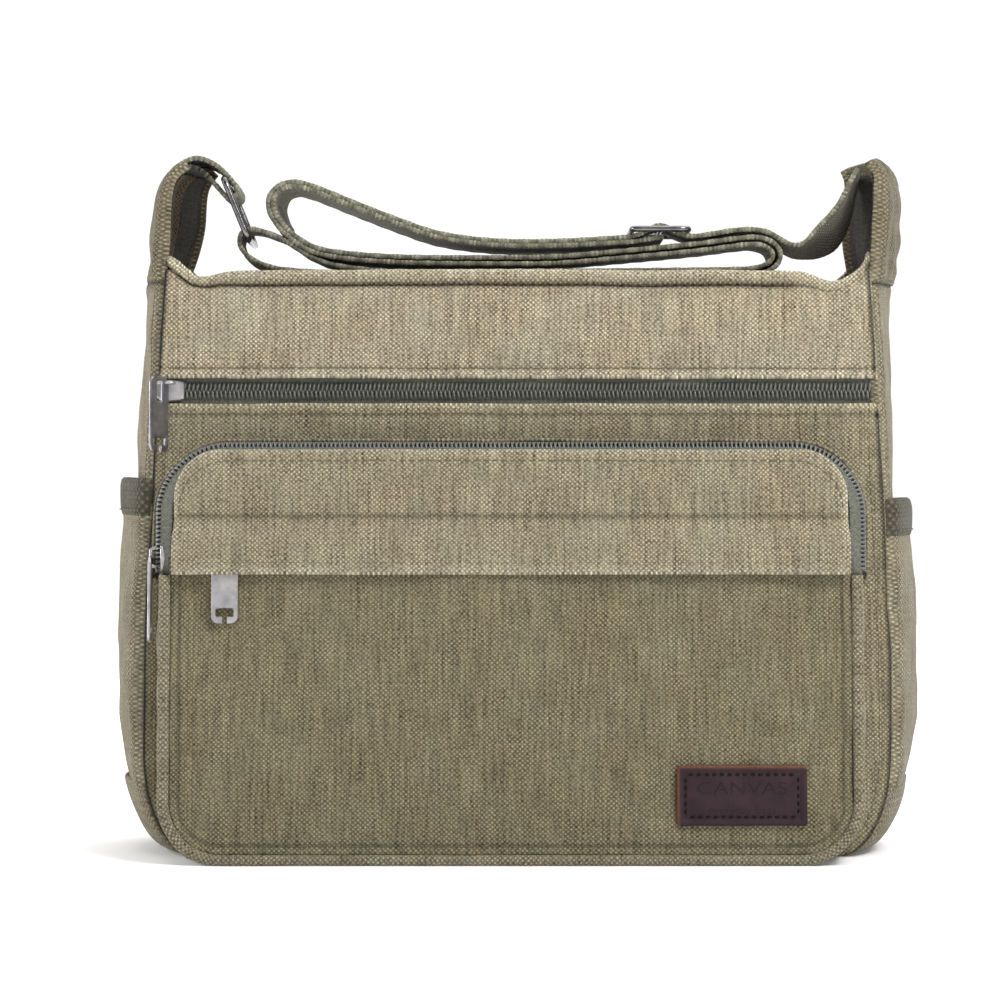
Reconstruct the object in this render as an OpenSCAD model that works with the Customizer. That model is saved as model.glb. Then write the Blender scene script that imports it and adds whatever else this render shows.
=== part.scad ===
// Canvas shoulder bag with a zipped top, front pocket, side pockets and a webbing strap.
// X runs across the bag, Y from front to back and Z up; the origin is the centre of its base.

/* [Body] */
// Half the width of the front panel, seam to seam
panel_half_w = 165; // [150:1:175]
// Front to back at the base
base_depth = 100; // [90:1:110]
// Front to back at the top edge
top_depth = 62; // [56:1:70]
// Height of the front panel's rolled top edge
body_h = 257; // [256:0.5:260]
// Thickness of the canvas
canvas = 2; // [1.6:0.1:2.2]
// How far each gusset bulges past the seam
gusset_bulge = 8; // [6:0.5:9]

/* [Front pocket] */
// Half the width of the front pocket
pocket_half_w = 152; // [145:1:154]
// Height of the front pocket's top
pocket_top = 180; // [176:0.5:181]
// How far the pocket's face stands forward at the floor
pocket_front = 85; // [78:1:90]
// How far it stands forward at the pocket's top
pocket_front_top = 68; // [64:1:72]
// Radius of the pocket's top corners
pocket_top_r = 28; // [24:1:30]
// Radius of its bottom corners
pocket_bottom_r = 26; // [22:1:28]
// Height where the pocket zip ends and the canvas side begins
pocket_zip_foot = 124.5; // [122:0.5:126]

/* [Zips] */
// Height of the front zip
front_zip_z = 204; // [202:0.5:206]
// Height of the zip under the placket
placket_zip_z = 137; // [136:0.5:138]
// Height of the back zip
back_zip_z = 190; // [150:1:200]
// Half the length of the back zip
back_zip_half = 120; // [90:1:130]
// Length of the gunmetal pullers below their pivot
puller_len = 27; // [22:0.5:27]
// Width of a puller
puller_w = 12; // [9:0.5:12]

/* [Strap] */
// Width of the webbing
strap_w = 38; // [30:1:38]
// Thickness of the webbing
strap_t = 2; // [1.6:0.1:2]
// Gap between the two plies of the folded strap
ply_gap = 0.5; // [0.4:0.1:0.6]

/* [Label] */
// Width of the leather label
label_w = 55; // [45:1:60]
// Height of the leather label
label_h = 24; // [18:1:26]

/* [Hidden] */

canvas_colour = [0.50, 0.48, 0.37];
canvas_shade = [0.44, 0.42, 0.32];
lining_colour = [0.20, 0.20, 0.19];
tape_colour = [0.33, 0.35, 0.28];
webbing_colour = [0.34, 0.35, 0.27];
gunmetal = [0.22, 0.22, 0.23];
silver = [0.62, 0.62, 0.62];
leather_colour = [0.16, 0.08, 0.08];

// Lean of the front and back panels, and of the front pocket's face
lean = atan((base_depth - top_depth) / 2 / body_h);
pocket_lean = atan((pocket_front - pocket_front_top) / pocket_top);
gap = 0.3;
far = 400;

// Corners of the front panel's seam line: an ellipse quarter this wide and high
corner_w = 24;
corner_h = 45;
taper_start = 90;
taper_total = 8;
seam_top = 251;

// Zip section, measured across the zip and down through it from the canvas surface
slot_half = 5;
tape_half = 14;
tape_t = 0.8;
tape_gap = 0.2;
chain_half = 3.1;
chain_gap = 0.7;
chain_top = 1.2;
chain_bottom = 4;
slider_l = 13;
slider_w = 9.4;
plate_top = -0.6;
plate_under = 0.8;
heel_top = 4.4;
heel_bottom = 5.6;
web_half = 0.35;
web_back = 1;
web_l = 6;
bite = 0.1;
bar_out = 3.2;
bar_r = 0.8;
eye_bore_r = 0.86;
eye_r = 1.7;
eye_l = 4.6;
post_in = 3;
post_out = 4.2;
tag_t = 1.2;
neck_foot = 5;
neck_l = 4.2;
tag_head = 4;
puller_slot_w = 3;
puller_slot_h = 6;
puller_slot_foot = 4;

// Where each slider rests along its zip
front_slider_x = -149.5;
puller_shift = -2.2;
bar_lift = 4;
long_puller = 34;
placket_slider_x = -123;
back_slider_x = 112;
tape_tuck = 6;
top_slider_x = -131;
top_zip_z = 248;
pocket_slider_z = 132.5;
chain_depth = 10;
tape_in = 2.4;
chain_in = 1.4;

function half_depth(z) = base_depth / 2 - z * tan(lean);
function pocket_y(z) = -(pocket_front - z * tan(pocket_lean));
function seam_x(z) =
    z < corner_h
    ? panel_half_w - corner_w * (1 - sqrt(1 - pow((corner_h - z) / corner_h, 2)))
    : panel_half_w - taper_total * pow(max(0, z - taper_start) / (body_h - taper_start), 1.2);
function ramp(v, a, b) = min(1, max(0, (v - a) / (b - a)));
function smooth(v, a, b) = let (r = ramp(v, a, b)) r * r * (3 - 2 * r);
function bulge_at(z) = gusset_bulge + 2.5 * smooth(z, 150, 190);
function swell(t) = pow(max(0, sin(180 * t)), 0.7);

// Places its children on the front, back, top or pocket surface: X along it, -Y out of it
module on_front(z) {
    translate([0, -half_depth(z), z]) rotate([-lean, 0, 0]) children();
}
module on_back(z) {
    rotate([0, 0, 180]) on_front(z) children();
}
module on_top() {
    translate([0, 0, top_zip_z]) rotate([-90, 0, 0]) children();
}
module on_pocket(z) {
    translate([0, pocket_y(z), z]) rotate([-pocket_lean, 0, 0]) children();
}
module upright(depth) {
    translate([0, depth / 2, 0]) rotate([90, 0, 0]) linear_extrude(depth) children();
}

// Outline of the front and back panels, drawn in X and Z
module panel_outline(z0, z1, inset) {
    between = [for (z = [5, 10, 16, 23, 32, 45, 90, 130, 170, 210]) if (z > z0 && z < z1) z];
    heights = concat([z0], between, [z1]);
    right = [for (z = heights) [seam_x(z) - inset, z]];
    left = [for (i = [len(right) - 1:-1:0]) [-right[i][0], right[i][1]]];
    polygon(concat(right, left));
}
module panel(z0, z1) {
    intersection() {
        upright(far) panel_outline(z0, z1, 0);
        on_front(0) translate([-far / 2, 0, -base_depth]) cube([far, canvas, far]);
    }
}

// A curved sheet lofted over rows of [x, z, normal x, normal z, bulge x, bulge z, half width in Y]
module curved_sheet(rows, inner, outer) {
    cols = 12;
    m = cols + 1;
    s = len(rows) * m;
    last = s - m;
    pts = [for (off = [inner, outer]) for (r = rows) for (j = [0:cols])
        let (t = j / cols, b = swell(t))
        [r[0] + r[4] * b + r[2] * off, r[6] * (2 * t - 1), r[1] + r[5] * b + r[3] * off]];
    function quad(a, b, c, d) = [[a, b, c], [a, c, d]];
    skin = [for (i = [0:m:last - m]) for (j = [i:i + cols - 1])
        each concat(quad(j, j + 1, j + m + 1, j + m), quad(s + j, s + j + m, s + j + m + 1, s + j + 1))];
    sides = [for (i = [0:m:last - m]) let (b = i + cols)
        each concat(quad(i, i + m, s + i + m, s + i), quad(b, s + b, s + b + m, b + m))];
    ends = [for (j = [0:cols - 1]) let (b = last + j)
        each concat(quad(s + j, s + j + 1, j + 1, j), quad(b, b + 1, s + b + 1, s + b))];
    polyhedron(pts, concat(skin, sides, ends));
}
gusset_heights = [31.3, 45, 60, 80, 100, 120, 140, 160, 175, 190, 210, 230, seam_top];
function side_row(z, extra) = [seam_x(z), z, 1, 0, bulge_at(z) + extra, 0, half_depth(z) - canvas - 0.2];
module gusset() {
    curved_sheet([for (z = gusset_heights) side_row(z, 0)], -canvas, 0);
}

// The base strip turns up at both ends: down the left corner, along the base and up the right
base_angles = [18.2, 30, 42, 54, 66, 78, 90];
base_bulge = 12;
function base_row(a, side) =
    let (x = panel_half_w - corner_w * (1 - cos(a)), z = corner_h * (1 - sin(a)))
    let (nx = corner_h * cos(a), nz = -corner_w * sin(a), l = norm([nx, nz]))
    let (bulge = side * base_bulge * ramp(a, 90, 70))
    [side * x, z, side * nx / l, nz / l, bulge, 0, half_depth(z) - canvas - 0.2];
module base_panel() {
    rows = concat([for (a = base_angles) base_row(a, -1)], [for (i = [6:-1:0]) base_row(base_angles[i], 1)]);
    color(canvas_shade) curved_sheet(rows, -canvas, 0);
}
module gusset_right() { color(canvas_shade) gusset(); }
module gusset_left() { color(canvas_shade) mirror([1, 0, 0]) gusset(); }

module front_panel_upper() { color(canvas_colour) panel(front_zip_z + slot_half, body_h); }
module front_panel_lower() { color(canvas_colour) panel(gap, front_zip_z - slot_half); }
module back_panel_upper() { color(canvas_colour) rotate([0, 0, 180]) panel(back_zip_z + slot_half, body_h); }
module back_panel_lower() {
    color(canvas_colour) rotate([0, 0, 180]) difference() {
        panel(gap, back_zip_z + slot_half - gap);
        on_front(back_zip_z)
            translate([-back_zip_half, -1, -slot_half])
                cube([2 * back_zip_half, canvas + 2, 2 * slot_half + 1]);
    }
}

// Ears: the gussets' upper ends, which lean in over the webbing. Rows of [x, z, bulge, half width]
ear_left_rows = [[157, 251.4, 11, 29], [156, 262, 10.5, 28], [155.5, 275, 10, 26.5], [155, 287, 8.5, 24],
    [153.5, 297, 6.5, 22], [150.5, 304, 4.5, 20.5], [146, 308, 3, 20], [140, 309.5, 2, 20]];
ear_right_rows = [[157.1, 252.6, 11, 29], [158, 262, 10.8, 28], [159, 275, 10.5, 26.5], [160, 287, 9.5, 24],
    [160.5, 297, 8, 22], [160, 304, 6, 20.5], [157, 308.2, 3, 20], [151, 309.5, 2, 20]];
function ear_row(list, i) =
    let (p = list[max(0, i - 1)], q = list[min(len(list) - 1, i + 1)], r = list[i])
    let (d = [q[0] - p[0], q[1] - p[1]], n = [d[1], -d[0]] / norm(d))
    [r[0], r[1], n[0], n[1], n[0] * r[2], n[1] * r[2], r[3]];
module ear(list, inner, outer, count) {
    curved_sheet([for (i = [0:count - 1]) ear_row(list, i)], inner, outer);
}
facing_t = 1;
module ear_right() { color(canvas_shade) ear(ear_right_rows, -canvas, 0, 8); }
module ear_left() { color(canvas_shade) mirror([1, 0, 0]) ear(ear_left_rows, -canvas, 0, 8); }
module ear_facing_right() {
    color(lining_colour) ear(ear_right_rows, -canvas - gap - facing_t, -canvas - gap, 5);
}
module ear_facing_left() {
    color(lining_colour) mirror([1, 0, 0]) ear(ear_left_rows, -canvas - gap - facing_t, -canvas - gap, 5);
}

// Top of the bag: a strip on each side of the main zip
strip_half_l = 152;
module top_strip(side) {
    y = half_depth(top_zip_z) - canvas - 1;
    x = strip_half_l;
    translate([-x, side < 0 ? -y : slot_half, top_zip_z - canvas]) cube([2 * x, y - slot_half, canvas]);
}
module top_strip_front() { color(canvas_shade) top_strip(-1); }
module top_strip_back() { color(canvas_shade) top_strip(1); }

// Half a zip: the tape and its row of coils, with room for the slider's web in the middle
module stringer(tape_l, chain_l, side) {
    z0 = side > 0 ? chain_gap : -tape_half;
    translate([-tape_l, canvas + tape_gap, z0]) cube([2 * tape_l, tape_t, tape_half - chain_gap]);
    z1 = side > 0 ? chain_gap : -chain_half;
    translate([-chain_l, chain_top, z1])
        cube([2 * chain_l, chain_bottom - chain_top, chain_half - chain_gap]);
}
// Slider: two plates joined by a web, and a bar on two posts that carries the puller
module slider(shift, lift, turn) {
    w = slider_w / 2;
    l = slider_l / 2;
    post_l = bar_out + plate_top + 2 * bite;
    translate([-l, plate_top, -w]) cube([slider_l, plate_under - plate_top, slider_w]);
    translate([-l, heel_top, -w]) cube([slider_l, heel_bottom - heel_top, slider_w]);
    translate([-web_back, plate_under - bite, -web_half])
        cube([web_l, heel_top - plate_under + 2 * bite, 2 * web_half]);
    translate([shift, 0, lift]) rotate([0, turn, 0]) {
        for (x = [-post_out, post_in]) translate([x, -bar_out, -bar_r])
            cube([post_out - post_in, post_l, 2 * bar_r]);
        translate([-post_out, -bar_out, 0]) rotate([0, 90, 0])
            cylinder(r = bar_r, h = 2 * post_out, $fn = 48);
    }
}
// Puller: an eye round the bar, a neck and a flat tag with a rounded end and a slot
module puller(len, w) {
    difference() {
        union() {
            translate([-eye_l / 2, 0, 0]) rotate([0, 90, 0]) cylinder(r = eye_r, h = eye_l, $fn = 48);
            translate([-eye_l / 2, -tag_t / 2, -neck_foot]) cube([eye_l, tag_t, neck_l]);
            translate([-w / 2, -tag_t / 2, -len + w / 2]) cube([w, tag_t, len - w / 2 - tag_head]);
            translate([0, tag_t / 2, -len + w / 2]) rotate([90, 0, 0]) cylinder(d = w, h = tag_t, $fn = 48);
        }
        translate([-eye_l, 0, 0]) rotate([0, 90, 0]) cylinder(r = eye_bore_r, h = 2 * eye_l, $fn = 48);
        translate([-puller_slot_w / 2, -tag_t, puller_slot_foot - len])
            cube([puller_slot_w, 2 * tag_t, puller_slot_h]);
    }
}
module hung_puller(len, shift, lift, turn) {
    translate([shift, -bar_out, lift]) rotate([0, turn, 0]) puller(len, puller_w);
}

front_zip_half = 157;
module front_slider_place() {
    on_front(front_zip_z) translate([front_slider_x, 0, 0]) children();
}
module front_zip_stringer_upper() {
    color(tape_colour) on_front(front_zip_z) stringer(front_zip_half, front_zip_half, 1);
}
module front_zip_stringer_lower() {
    color(tape_colour) on_front(front_zip_z) stringer(front_zip_half, front_zip_half, -1);
}
module front_zip_slider() { color(gunmetal) front_slider_place() slider(puller_shift, bar_lift, 0); }
module front_zip_puller() {
    color(gunmetal) front_slider_place() hung_puller(puller_len, puller_shift, bar_lift, 0);
}

module back_slider_place() {
    on_back(back_zip_z) translate([-back_slider_x, 0, 0]) children();
}
module back_zip_stringer_upper() {
    color(tape_colour) on_back(back_zip_z) stringer(back_zip_half + tape_tuck, back_zip_half - gap, 1);
}
module back_zip_stringer_lower() {
    color(tape_colour) on_back(back_zip_z) stringer(back_zip_half + tape_tuck, back_zip_half - gap, -1);
}
module back_zip_slider() { color(gunmetal) back_slider_place() slider(0, 0, 0); }
module back_zip_puller() { color(gunmetal) back_slider_place() hung_puller(puller_len, 0, 0, 0); }

module top_slider_place() {
    on_top() translate([top_slider_x, 0, 0]) children();
}
module top_zip_stringer_front() { color(tape_colour) on_top() stringer(strip_half_l, strip_half_l, -1); }
module top_zip_stringer_back() { color(tape_colour) on_top() stringer(strip_half_l, strip_half_l, 1); }
module top_zip_slider() { color(gunmetal) top_slider_place() slider(0, 0, 90); }
module top_zip_puller() { color(gunmetal) top_slider_place() hung_puller(puller_len, 0, 0, 90); }

// Lining of the main compartment, open under the zip, and the slip pocket sewn inside its back
lining_t = 0.8;
lining_gap = 6.2;
lining_top = 243;
module lining_block(inset, z0, z1) {
    intersection() {
        upright(far) panel_outline(z0, z1, inset);
        rotate([90, 0, 90]) translate([0, 0, -far / 2]) linear_extrude(far) polygon([
            [-half_depth(0) + inset, 0], [half_depth(0) - inset, 0],
            [half_depth(far) - inset, far], [-half_depth(far) + inset, far]]);
    }
}
module lining() {
    color(lining_colour) difference() {
        lining_block(lining_gap, canvas + gap, lining_top);
        lining_block(lining_gap + lining_t, canvas + gap + lining_t, lining_top + 1);
    }
}
inner_pocket_size = [170, 8, 110];
inner_pocket_z = 90;
module inner_pocket() {
    s = inner_pocket_size;
    color(lining_colour) on_back(inner_pocket_z)
        translate([-s[0] / 2, lining_gap + lining_t + gap, 0]) difference() {
            cube(s);
            translate([lining_t, lining_t, lining_t])
                cube([s[0] - 2 * lining_t, s[1] - 2 * lining_t, s[2]]);
        }
}

// Front pocket: its outline in X and Z, grown or shrunk by "grow"
module pocket_outline(grow) {
    x = pocket_half_w + grow;
    z0 = pocket_floor - grow;
    z1 = pocket_top + grow;
    rt = pocket_top_r + grow;
    rb = pocket_bottom_r + grow;
    for (s = [-1, 1]) {
        translate([s * (x - rt), z1 - rt]) circle(r = rt, $fn = 96);
        translate([s * (x - rb), z0 + rb]) circle(r = rb, $fn = 96);
    }
    translate([-x, z0 + rb]) square([2 * x, z1 - rt - z0 - rb]);
    translate([-x + rt, z1 - rt - 1]) square([2 * (x - rt), rt + 1]);
    translate([-x + rb, z0]) square([2 * (x - rb), rb + 1]);
}
module pocket_ring(outer, inner) {
    difference() {
        pocket_outline(outer);
        pocket_outline(inner);
    }
}
module band(z0, z1) {
    translate([-far / 2, z0]) square([far, z1 - z0]);
}
// A ring or plate of the pocket between two depths behind its face, and two heights
module pocket_layer(y0, y1, z0, z1) {
    on_pocket(0) translate([0, y1, 0]) rotate([90, 0, 0]) linear_extrude(y1 - y0) intersection() {
        children();
        band(z0, z1);
    }
}
// The same, but reaching back to the front panel
module pocket_wall(y0, z0, z1) {
    intersection() {
        upright(far) intersection() {
            pocket_ring(0, -canvas);
            band(z0, z1);
        }
        rotate([90, 0, 90]) translate([0, 0, -far / 2]) linear_extrude(far) polygon([
            [pocket_y(0) + y0, 0], [-half_depth(0) - gap, 0],
            [-half_depth(far / 2) - gap, far / 2], [pocket_y(far / 2) + y0, far / 2]]);
    }
}
pocket_floor = 1.5;
side_canvas_top = pocket_zip_foot - 2.8;
face_inset = 1.8;
yoke_inset = 5;
placket_seam = 149;
flap_edge = 124.7;
flap_out = 5.6;
flap_t = 1.4;
module pocket_face() {
    color(canvas_colour)
        pocket_layer(0, canvas, 0, placket_zip_z - slot_half) pocket_outline(-face_inset);
}
module pocket_yoke() {
    color(canvas_colour)
        pocket_layer(0, canvas, placket_zip_z + slot_half, far) pocket_outline(-yoke_inset);
}
module placket_flap() {
    color(canvas_colour) {
        pocket_layer(-flap_out - flap_t, -flap_out, flap_edge, placket_seam) pocket_outline(-yoke_inset);
        pocket_layer(-flap_out, -gap / 3, placket_seam - flap_t, placket_seam) pocket_outline(-yoke_inset);
    }
}
module pocket_side_canvas() { color(canvas_shade) pocket_wall(canvas + gap, 0, side_canvas_top); }
module pocket_top_canvas() {
    color(canvas_shade) pocket_wall(chain_depth + 5, side_canvas_top + gap, far / 2);
}
piping_grow = 1.2;
module pocket_piping() {
    color(canvas_colour)
        pocket_layer(-1.5, canvas, 0, pocket_zip_foot) pocket_ring(piping_grow, gap - face_inset);
}
// The pocket's zip stands in its side wall, so its section is turned to face outwards
module pocket_stringer(side) {
    y0 = side < 0 ? canvas + gap : chain_depth + chain_gap;
    y1 = side < 0 ? chain_depth - chain_gap : chain_depth + 2 * chain_half + canvas;
    c0 = side < 0 ? chain_depth - chain_half : chain_depth + chain_gap;
    c1 = side < 0 ? chain_depth - chain_gap : chain_depth + chain_half;
    color(tape_colour) {
        pocket_layer(y0, y1, pocket_zip_foot, far) pocket_ring(-tape_in, -tape_in - tape_t);
        pocket_layer(c0, c1, pocket_zip_foot, far)
            pocket_ring(-chain_in, -chain_in + chain_top - chain_bottom);
    }
}
module pocket_zip_stringer_front() { pocket_stringer(-1); }
module pocket_zip_stringer_back() { pocket_stringer(1); }
module pocket_slider_place() {
    on_pocket(0) translate([-pocket_half_w + chain_in - chain_top, chain_depth, pocket_slider_z])
        rotate([-90, -90, 0]) children();
}
module pocket_zip_slider() { color(gunmetal) pocket_slider_place() slider(0, 0, 90); }
module pocket_zip_puller() { color(gunmetal) pocket_slider_place() hung_puller(long_puller, 0, 0, 90); }

placket_half = 141;
module on_placket() {
    on_pocket(0) translate([0, 0, placket_zip_z]) children();
}
module placket_slider_place() {
    on_placket() translate([placket_slider_x, 0, 0]) children();
}
module placket_zip_stringer_upper() {
    color(tape_colour) on_placket() stringer(placket_half, placket_half, 1);
}
module placket_zip_stringer_lower() {
    color(tape_colour) on_placket() stringer(placket_half, placket_half, -1);
}
module placket_zip_slider() { color(silver) placket_slider_place() slider(0, 0, 0); }
module placket_zip_puller() { color(silver) placket_slider_place() hung_puller(long_puller, 0, 0, 0); }

label_x = 95.6;
label_z = 29.8;
label_t = 1.6;
module leather_label() {
    color(leather_colour) on_pocket(label_z)
        translate([label_x - label_w / 2, -gap - label_t, -label_h / 2]) cube([label_w, label_t, label_h]);
}

// Side slip pockets: a panel that stands off the gusset, and webbing bound over its mouth
side_pocket_heights = [31.5, 38, 48, 60, 75, 90, 110, 130, 145.7];
binding_heights = [146, 153, 160];
side_pocket_swell = 5;
side_canvas_t = 1.5;
binding_t = 2;
function pocket_stand(z) = side_pocket_swell * ramp(z, 30, 60) + panel_half_w - seam_x(max(z, corner_h));
module side_pocket() {
    curved_sheet([for (z = side_pocket_heights) side_row(z, pocket_stand(z))], gap, gap + side_canvas_t);
}
module side_binding() {
    curved_sheet([for (z = binding_heights) side_row(z, pocket_stand(z))], gap, gap + binding_t);
}
module side_pocket_right() { color(canvas_shade) side_pocket(); }
module side_pocket_left() { color(canvas_shade) mirror([1, 0, 0]) side_pocket(); }
module side_binding_right() { color(webbing_colour) side_binding(); }
module side_binding_left() { color(webbing_colour) mirror([1, 0, 0]) side_binding(); }

// Shoulder strap, drawn in X and Z: two plies lie folded on the bag between the ring and the slide
// buckle, and one ply runs on to the right ear
fold_route = [[44, 271.9], [20, 270.6], [-8, 270.6], [-34, 273.8], [-53, 280], [-75, 288.5], [-90, 294.5],
    [-102, 297], [-110, 294], [-112.5, 287.5], [-108, 279], [-97, 270.5], [-84, 266], [-52, 263.2],
    [0, 262.8], [20, 263.2], [46, 265.4], [80, 268.6], [100, 271.2], [109, 271.5], [115.5, 268],
    [116, 262.6], [109, 258.4], [98, 257.4], [60, 257], [0, 256.8], [-40, 256.8], [-75, 257],
    [-97, 259.2], [-111, 264.6]];
single_route = [[51.5, 273.5], [57.5, 276], [64, 279.3], [70.5, 276], [76.5, 273.6], [84, 274.3],
    [100.5, 276.7], [112, 275.6], [121.5, 269.4], [128, 268.2], [134.5, 270.8], [141.6, 275.5],
    [147.5, 285], [151, 295], [154, 303]];
tuck_route = [[65.5, 273.3], [58, 272.2], [51.5, 271]];
ring_pivot = [-130.5, 299];
ring_foot = [-119.5, 272];
turn_r = 4.9;
function turned(v) = [-v[1], v[0]];
function heading(p, i) = let (d = p[min(len(p) - 1, i + 1)] - p[max(0, i - 1)]) d / norm(d);
function shifted(p, d) = [for (i = [0:len(p) - 1]) p[i] + d * turned(heading(p, i))];
function curve_at(p, i, t) =
    let (a = p[max(0, i - 1)], b = p[i], c = p[i + 1], d = p[min(len(p) - 1, i + 2)])
    0.5 * (2 * b + (c - a) * t + (2 * a - 5 * b + 4 * c - d) * t * t + (3 * b - a - 3 * c + d) * t * t * t);
function spline(p, n) =
    concat([for (i = [0:len(p) - 2]) for (k = [0:n - 1]) curve_at(p, i, k / n)], [p[len(p) - 1]]);
function reversed(p) = [for (i = [len(p) - 1:-1:0]) p[i]];
module ribbon(p, t) {
    polygon(concat(shifted(p, t / 2), reversed(shifted(p, -t / 2))));
}
module strap_webbing() {
    fold = spline(fold_route, 4);
    ply = (strap_t + ply_gap) / 2;
    last = fold_route[len(fold_route) - 1];
    aim = atan2(ring_foot[1] - last[1], ring_foot[0] - last[0]);
    turn = [for (a = [aim + 120:-12:aim - 120]) ring_foot + turn_r * [cos(a), sin(a)]];
    under = shifted(fold, ply);
    over = reversed(shifted(fold, -ply));
    line = concat(spline(tuck_route, 2), under, turn, over, spline(single_route, 4));
    color(webbing_colour) upright(strap_w) ribbon(line, strap_t);
}
loop_route = [[-132.5, 300.2], [-136.5, 302.6], [-141, 303.8], [-145.5, 303]];
loop_bore_r = 1.66;
loop_r = 3.7;
loop_t = 4;
module strap_loop() {
    color(webbing_colour) difference() {
        union() {
            upright(strap_w) translate(ring_pivot) circle(r = loop_r, $fn = 64);
            upright(strap_w) ribbon(spline(loop_route, 3), loop_t);
        }
        upright(strap_w + 2) translate(ring_pivot) circle(r = loop_bore_r, $fn = 64);
    }
}
// A frame bent from round wire: length along X from the origin, bars along Y at both ends
module wire_frame(length, r) {
    y = frame_half_y;
    for (x = [0, length]) translate([x, y - wire_bend, 0]) rotate([90, 0, 0])
        cylinder(r = r, h = 2 * (y - wire_bend), $fn = 48);
    for (s = [-1, 1]) translate([wire_bend, s * y, 0]) rotate([0, 90, 0])
        cylinder(r = r, h = length - 2 * wire_bend, $fn = 48);
    for (c = [[0, 1, 90], [0, -1, 180], [1, -1, 270], [1, 1, 0]])
        translate([c[0] * length + (1 - 2 * c[0]) * wire_bend, c[1] * (y - wire_bend), 0])
            rotate([0, 0, c[2]]) rotate_extrude(angle = 90, $fn = 96)
                translate([wire_bend, 0]) circle(r = r, $fn = 48);
}
wire_bend = 3;
ring_wire_r = 1.6;
buckle_wire_r = 1.4;
buckle_bar_r = 1.2;
buckle_at = [64, 276.5];
buckle_half = 12.5;
frame_half_y = strap_w / 2 + 2.6;
module rectangle_ring() {
    d = ring_foot - ring_pivot;
    color(gunmetal) translate([ring_pivot[0], 0, ring_pivot[1]]) rotate([0, -atan2(d[1], d[0]), 0])
        wire_frame(norm(d), ring_wire_r);
}
module slide_buckle() {
    color(gunmetal) translate([buckle_at[0], 0, buckle_at[1]]) {
        translate([-buckle_half, 0, 0]) wire_frame(2 * buckle_half, buckle_wire_r);
        translate([0, frame_half_y, 0]) rotate([90, 0, 0])
            cylinder(r = buckle_bar_r, h = 2 * frame_half_y, $fn = 48);
    }
}

front_panel_upper();
front_panel_lower();
back_panel_upper();
back_panel_lower();
gusset_left();
gusset_right();
base_panel();
ear_left();
ear_right();
ear_facing_left();
ear_facing_right();
top_strip_front();
top_strip_back();
top_zip_stringer_front();
top_zip_stringer_back();
top_zip_slider();
top_zip_puller();
lining();
inner_pocket();
front_zip_stringer_upper();
front_zip_stringer_lower();
front_zip_slider();
front_zip_puller();
pocket_yoke();
placket_flap();
pocket_face();
pocket_side_canvas();
pocket_top_canvas();
pocket_piping();
pocket_zip_stringer_front();
pocket_zip_stringer_back();
pocket_zip_slider();
pocket_zip_puller();
placket_zip_stringer_upper();
placket_zip_stringer_lower();
placket_zip_slider();
placket_zip_puller();
leather_label();
side_pocket_left();
side_pocket_right();
side_binding_left();
side_binding_right();
back_zip_stringer_upper();
back_zip_stringer_lower();
back_zip_slider();
back_zip_puller();
strap_webbing();
strap_loop();
rectangle_ring();
slide_buckle();
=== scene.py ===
"""Looks of the canvas shoulder bag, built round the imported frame. Lengths are in millimetres until
a mesh is made: X runs across the bag, -Y is its front and Z is up."""
import math
import bpy
import numpy as np
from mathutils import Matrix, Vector
from mathutils.geometry import delaunay_2d_cdt


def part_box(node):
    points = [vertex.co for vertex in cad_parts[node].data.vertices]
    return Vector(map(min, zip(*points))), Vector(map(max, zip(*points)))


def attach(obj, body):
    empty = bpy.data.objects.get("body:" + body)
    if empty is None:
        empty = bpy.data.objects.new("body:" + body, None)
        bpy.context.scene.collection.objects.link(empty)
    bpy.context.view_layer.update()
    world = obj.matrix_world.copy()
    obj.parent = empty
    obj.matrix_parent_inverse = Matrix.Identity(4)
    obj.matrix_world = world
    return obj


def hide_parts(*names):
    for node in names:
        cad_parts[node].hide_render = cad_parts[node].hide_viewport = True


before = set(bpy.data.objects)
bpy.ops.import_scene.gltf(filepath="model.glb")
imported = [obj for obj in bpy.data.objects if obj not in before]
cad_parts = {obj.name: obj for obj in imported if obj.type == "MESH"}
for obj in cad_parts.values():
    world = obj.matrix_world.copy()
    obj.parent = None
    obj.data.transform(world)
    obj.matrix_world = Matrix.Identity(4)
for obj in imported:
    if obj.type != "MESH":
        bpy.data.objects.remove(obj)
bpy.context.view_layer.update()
MM = 0.001


def span(node):
    """A frame node's low and high corners in millimetres."""
    low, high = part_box(node)
    return np.array(low) / MM, np.array(high) / MM


# ---- Sizes, taken from the frame where it has them -------------------------------------------
PANEL_W = span("front_panel_lower")[1][0]
SLOT_LOW = span("front_panel_lower")[1][2]
SLOT_HIGH = span("front_panel_upper")[0][2]
FRONT_ZIP_Z = (SLOT_LOW + SLOT_HIGH) / 2
HEM_Z = span("front_panel_upper")[1][2]
BACK_SLOT_HIGH = span("back_panel_upper")[0][2]
BASE_HALF = 50
LEAN = math.atan(19 / 257)
POCKET_FRONT = 85
POCKET_LEAN = math.atan(17 / 180)
POCKET_W = 152
POCKET_FLOOR = 1.5
POCKET_TOP = 180
POCKET_TOP_R = 28
POCKET_BOTTOM_R = 26
ZIP_FOOT = 124.5
PLACKET_Z = 137
BACK_ZIP_HALF = 120
TOP_ZIP_Z = 248
CANVAS = 2
CORNER_W = 24
CORNER_H = 45
STRAP_W = 38
STRAP_T = 2


def join(*columns):
    return np.stack(columns, -1)


def smooth(v, a, b):
    """0 up to a, 1 from b on, and an S-curve between."""
    r = np.clip((v - a) / (b - a), 0, 1)
    return r * r * (3 - 2 * r)


def hump(v, centre, width):
    """A soft bump of height 1."""
    return np.exp(-((v - centre) / width) ** 2)


def half_depth(z):
    return BASE_HALF - z * math.tan(LEAN)


def pocket_y(z):
    return z * math.tan(POCKET_LEAN) - POCKET_FRONT


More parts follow.
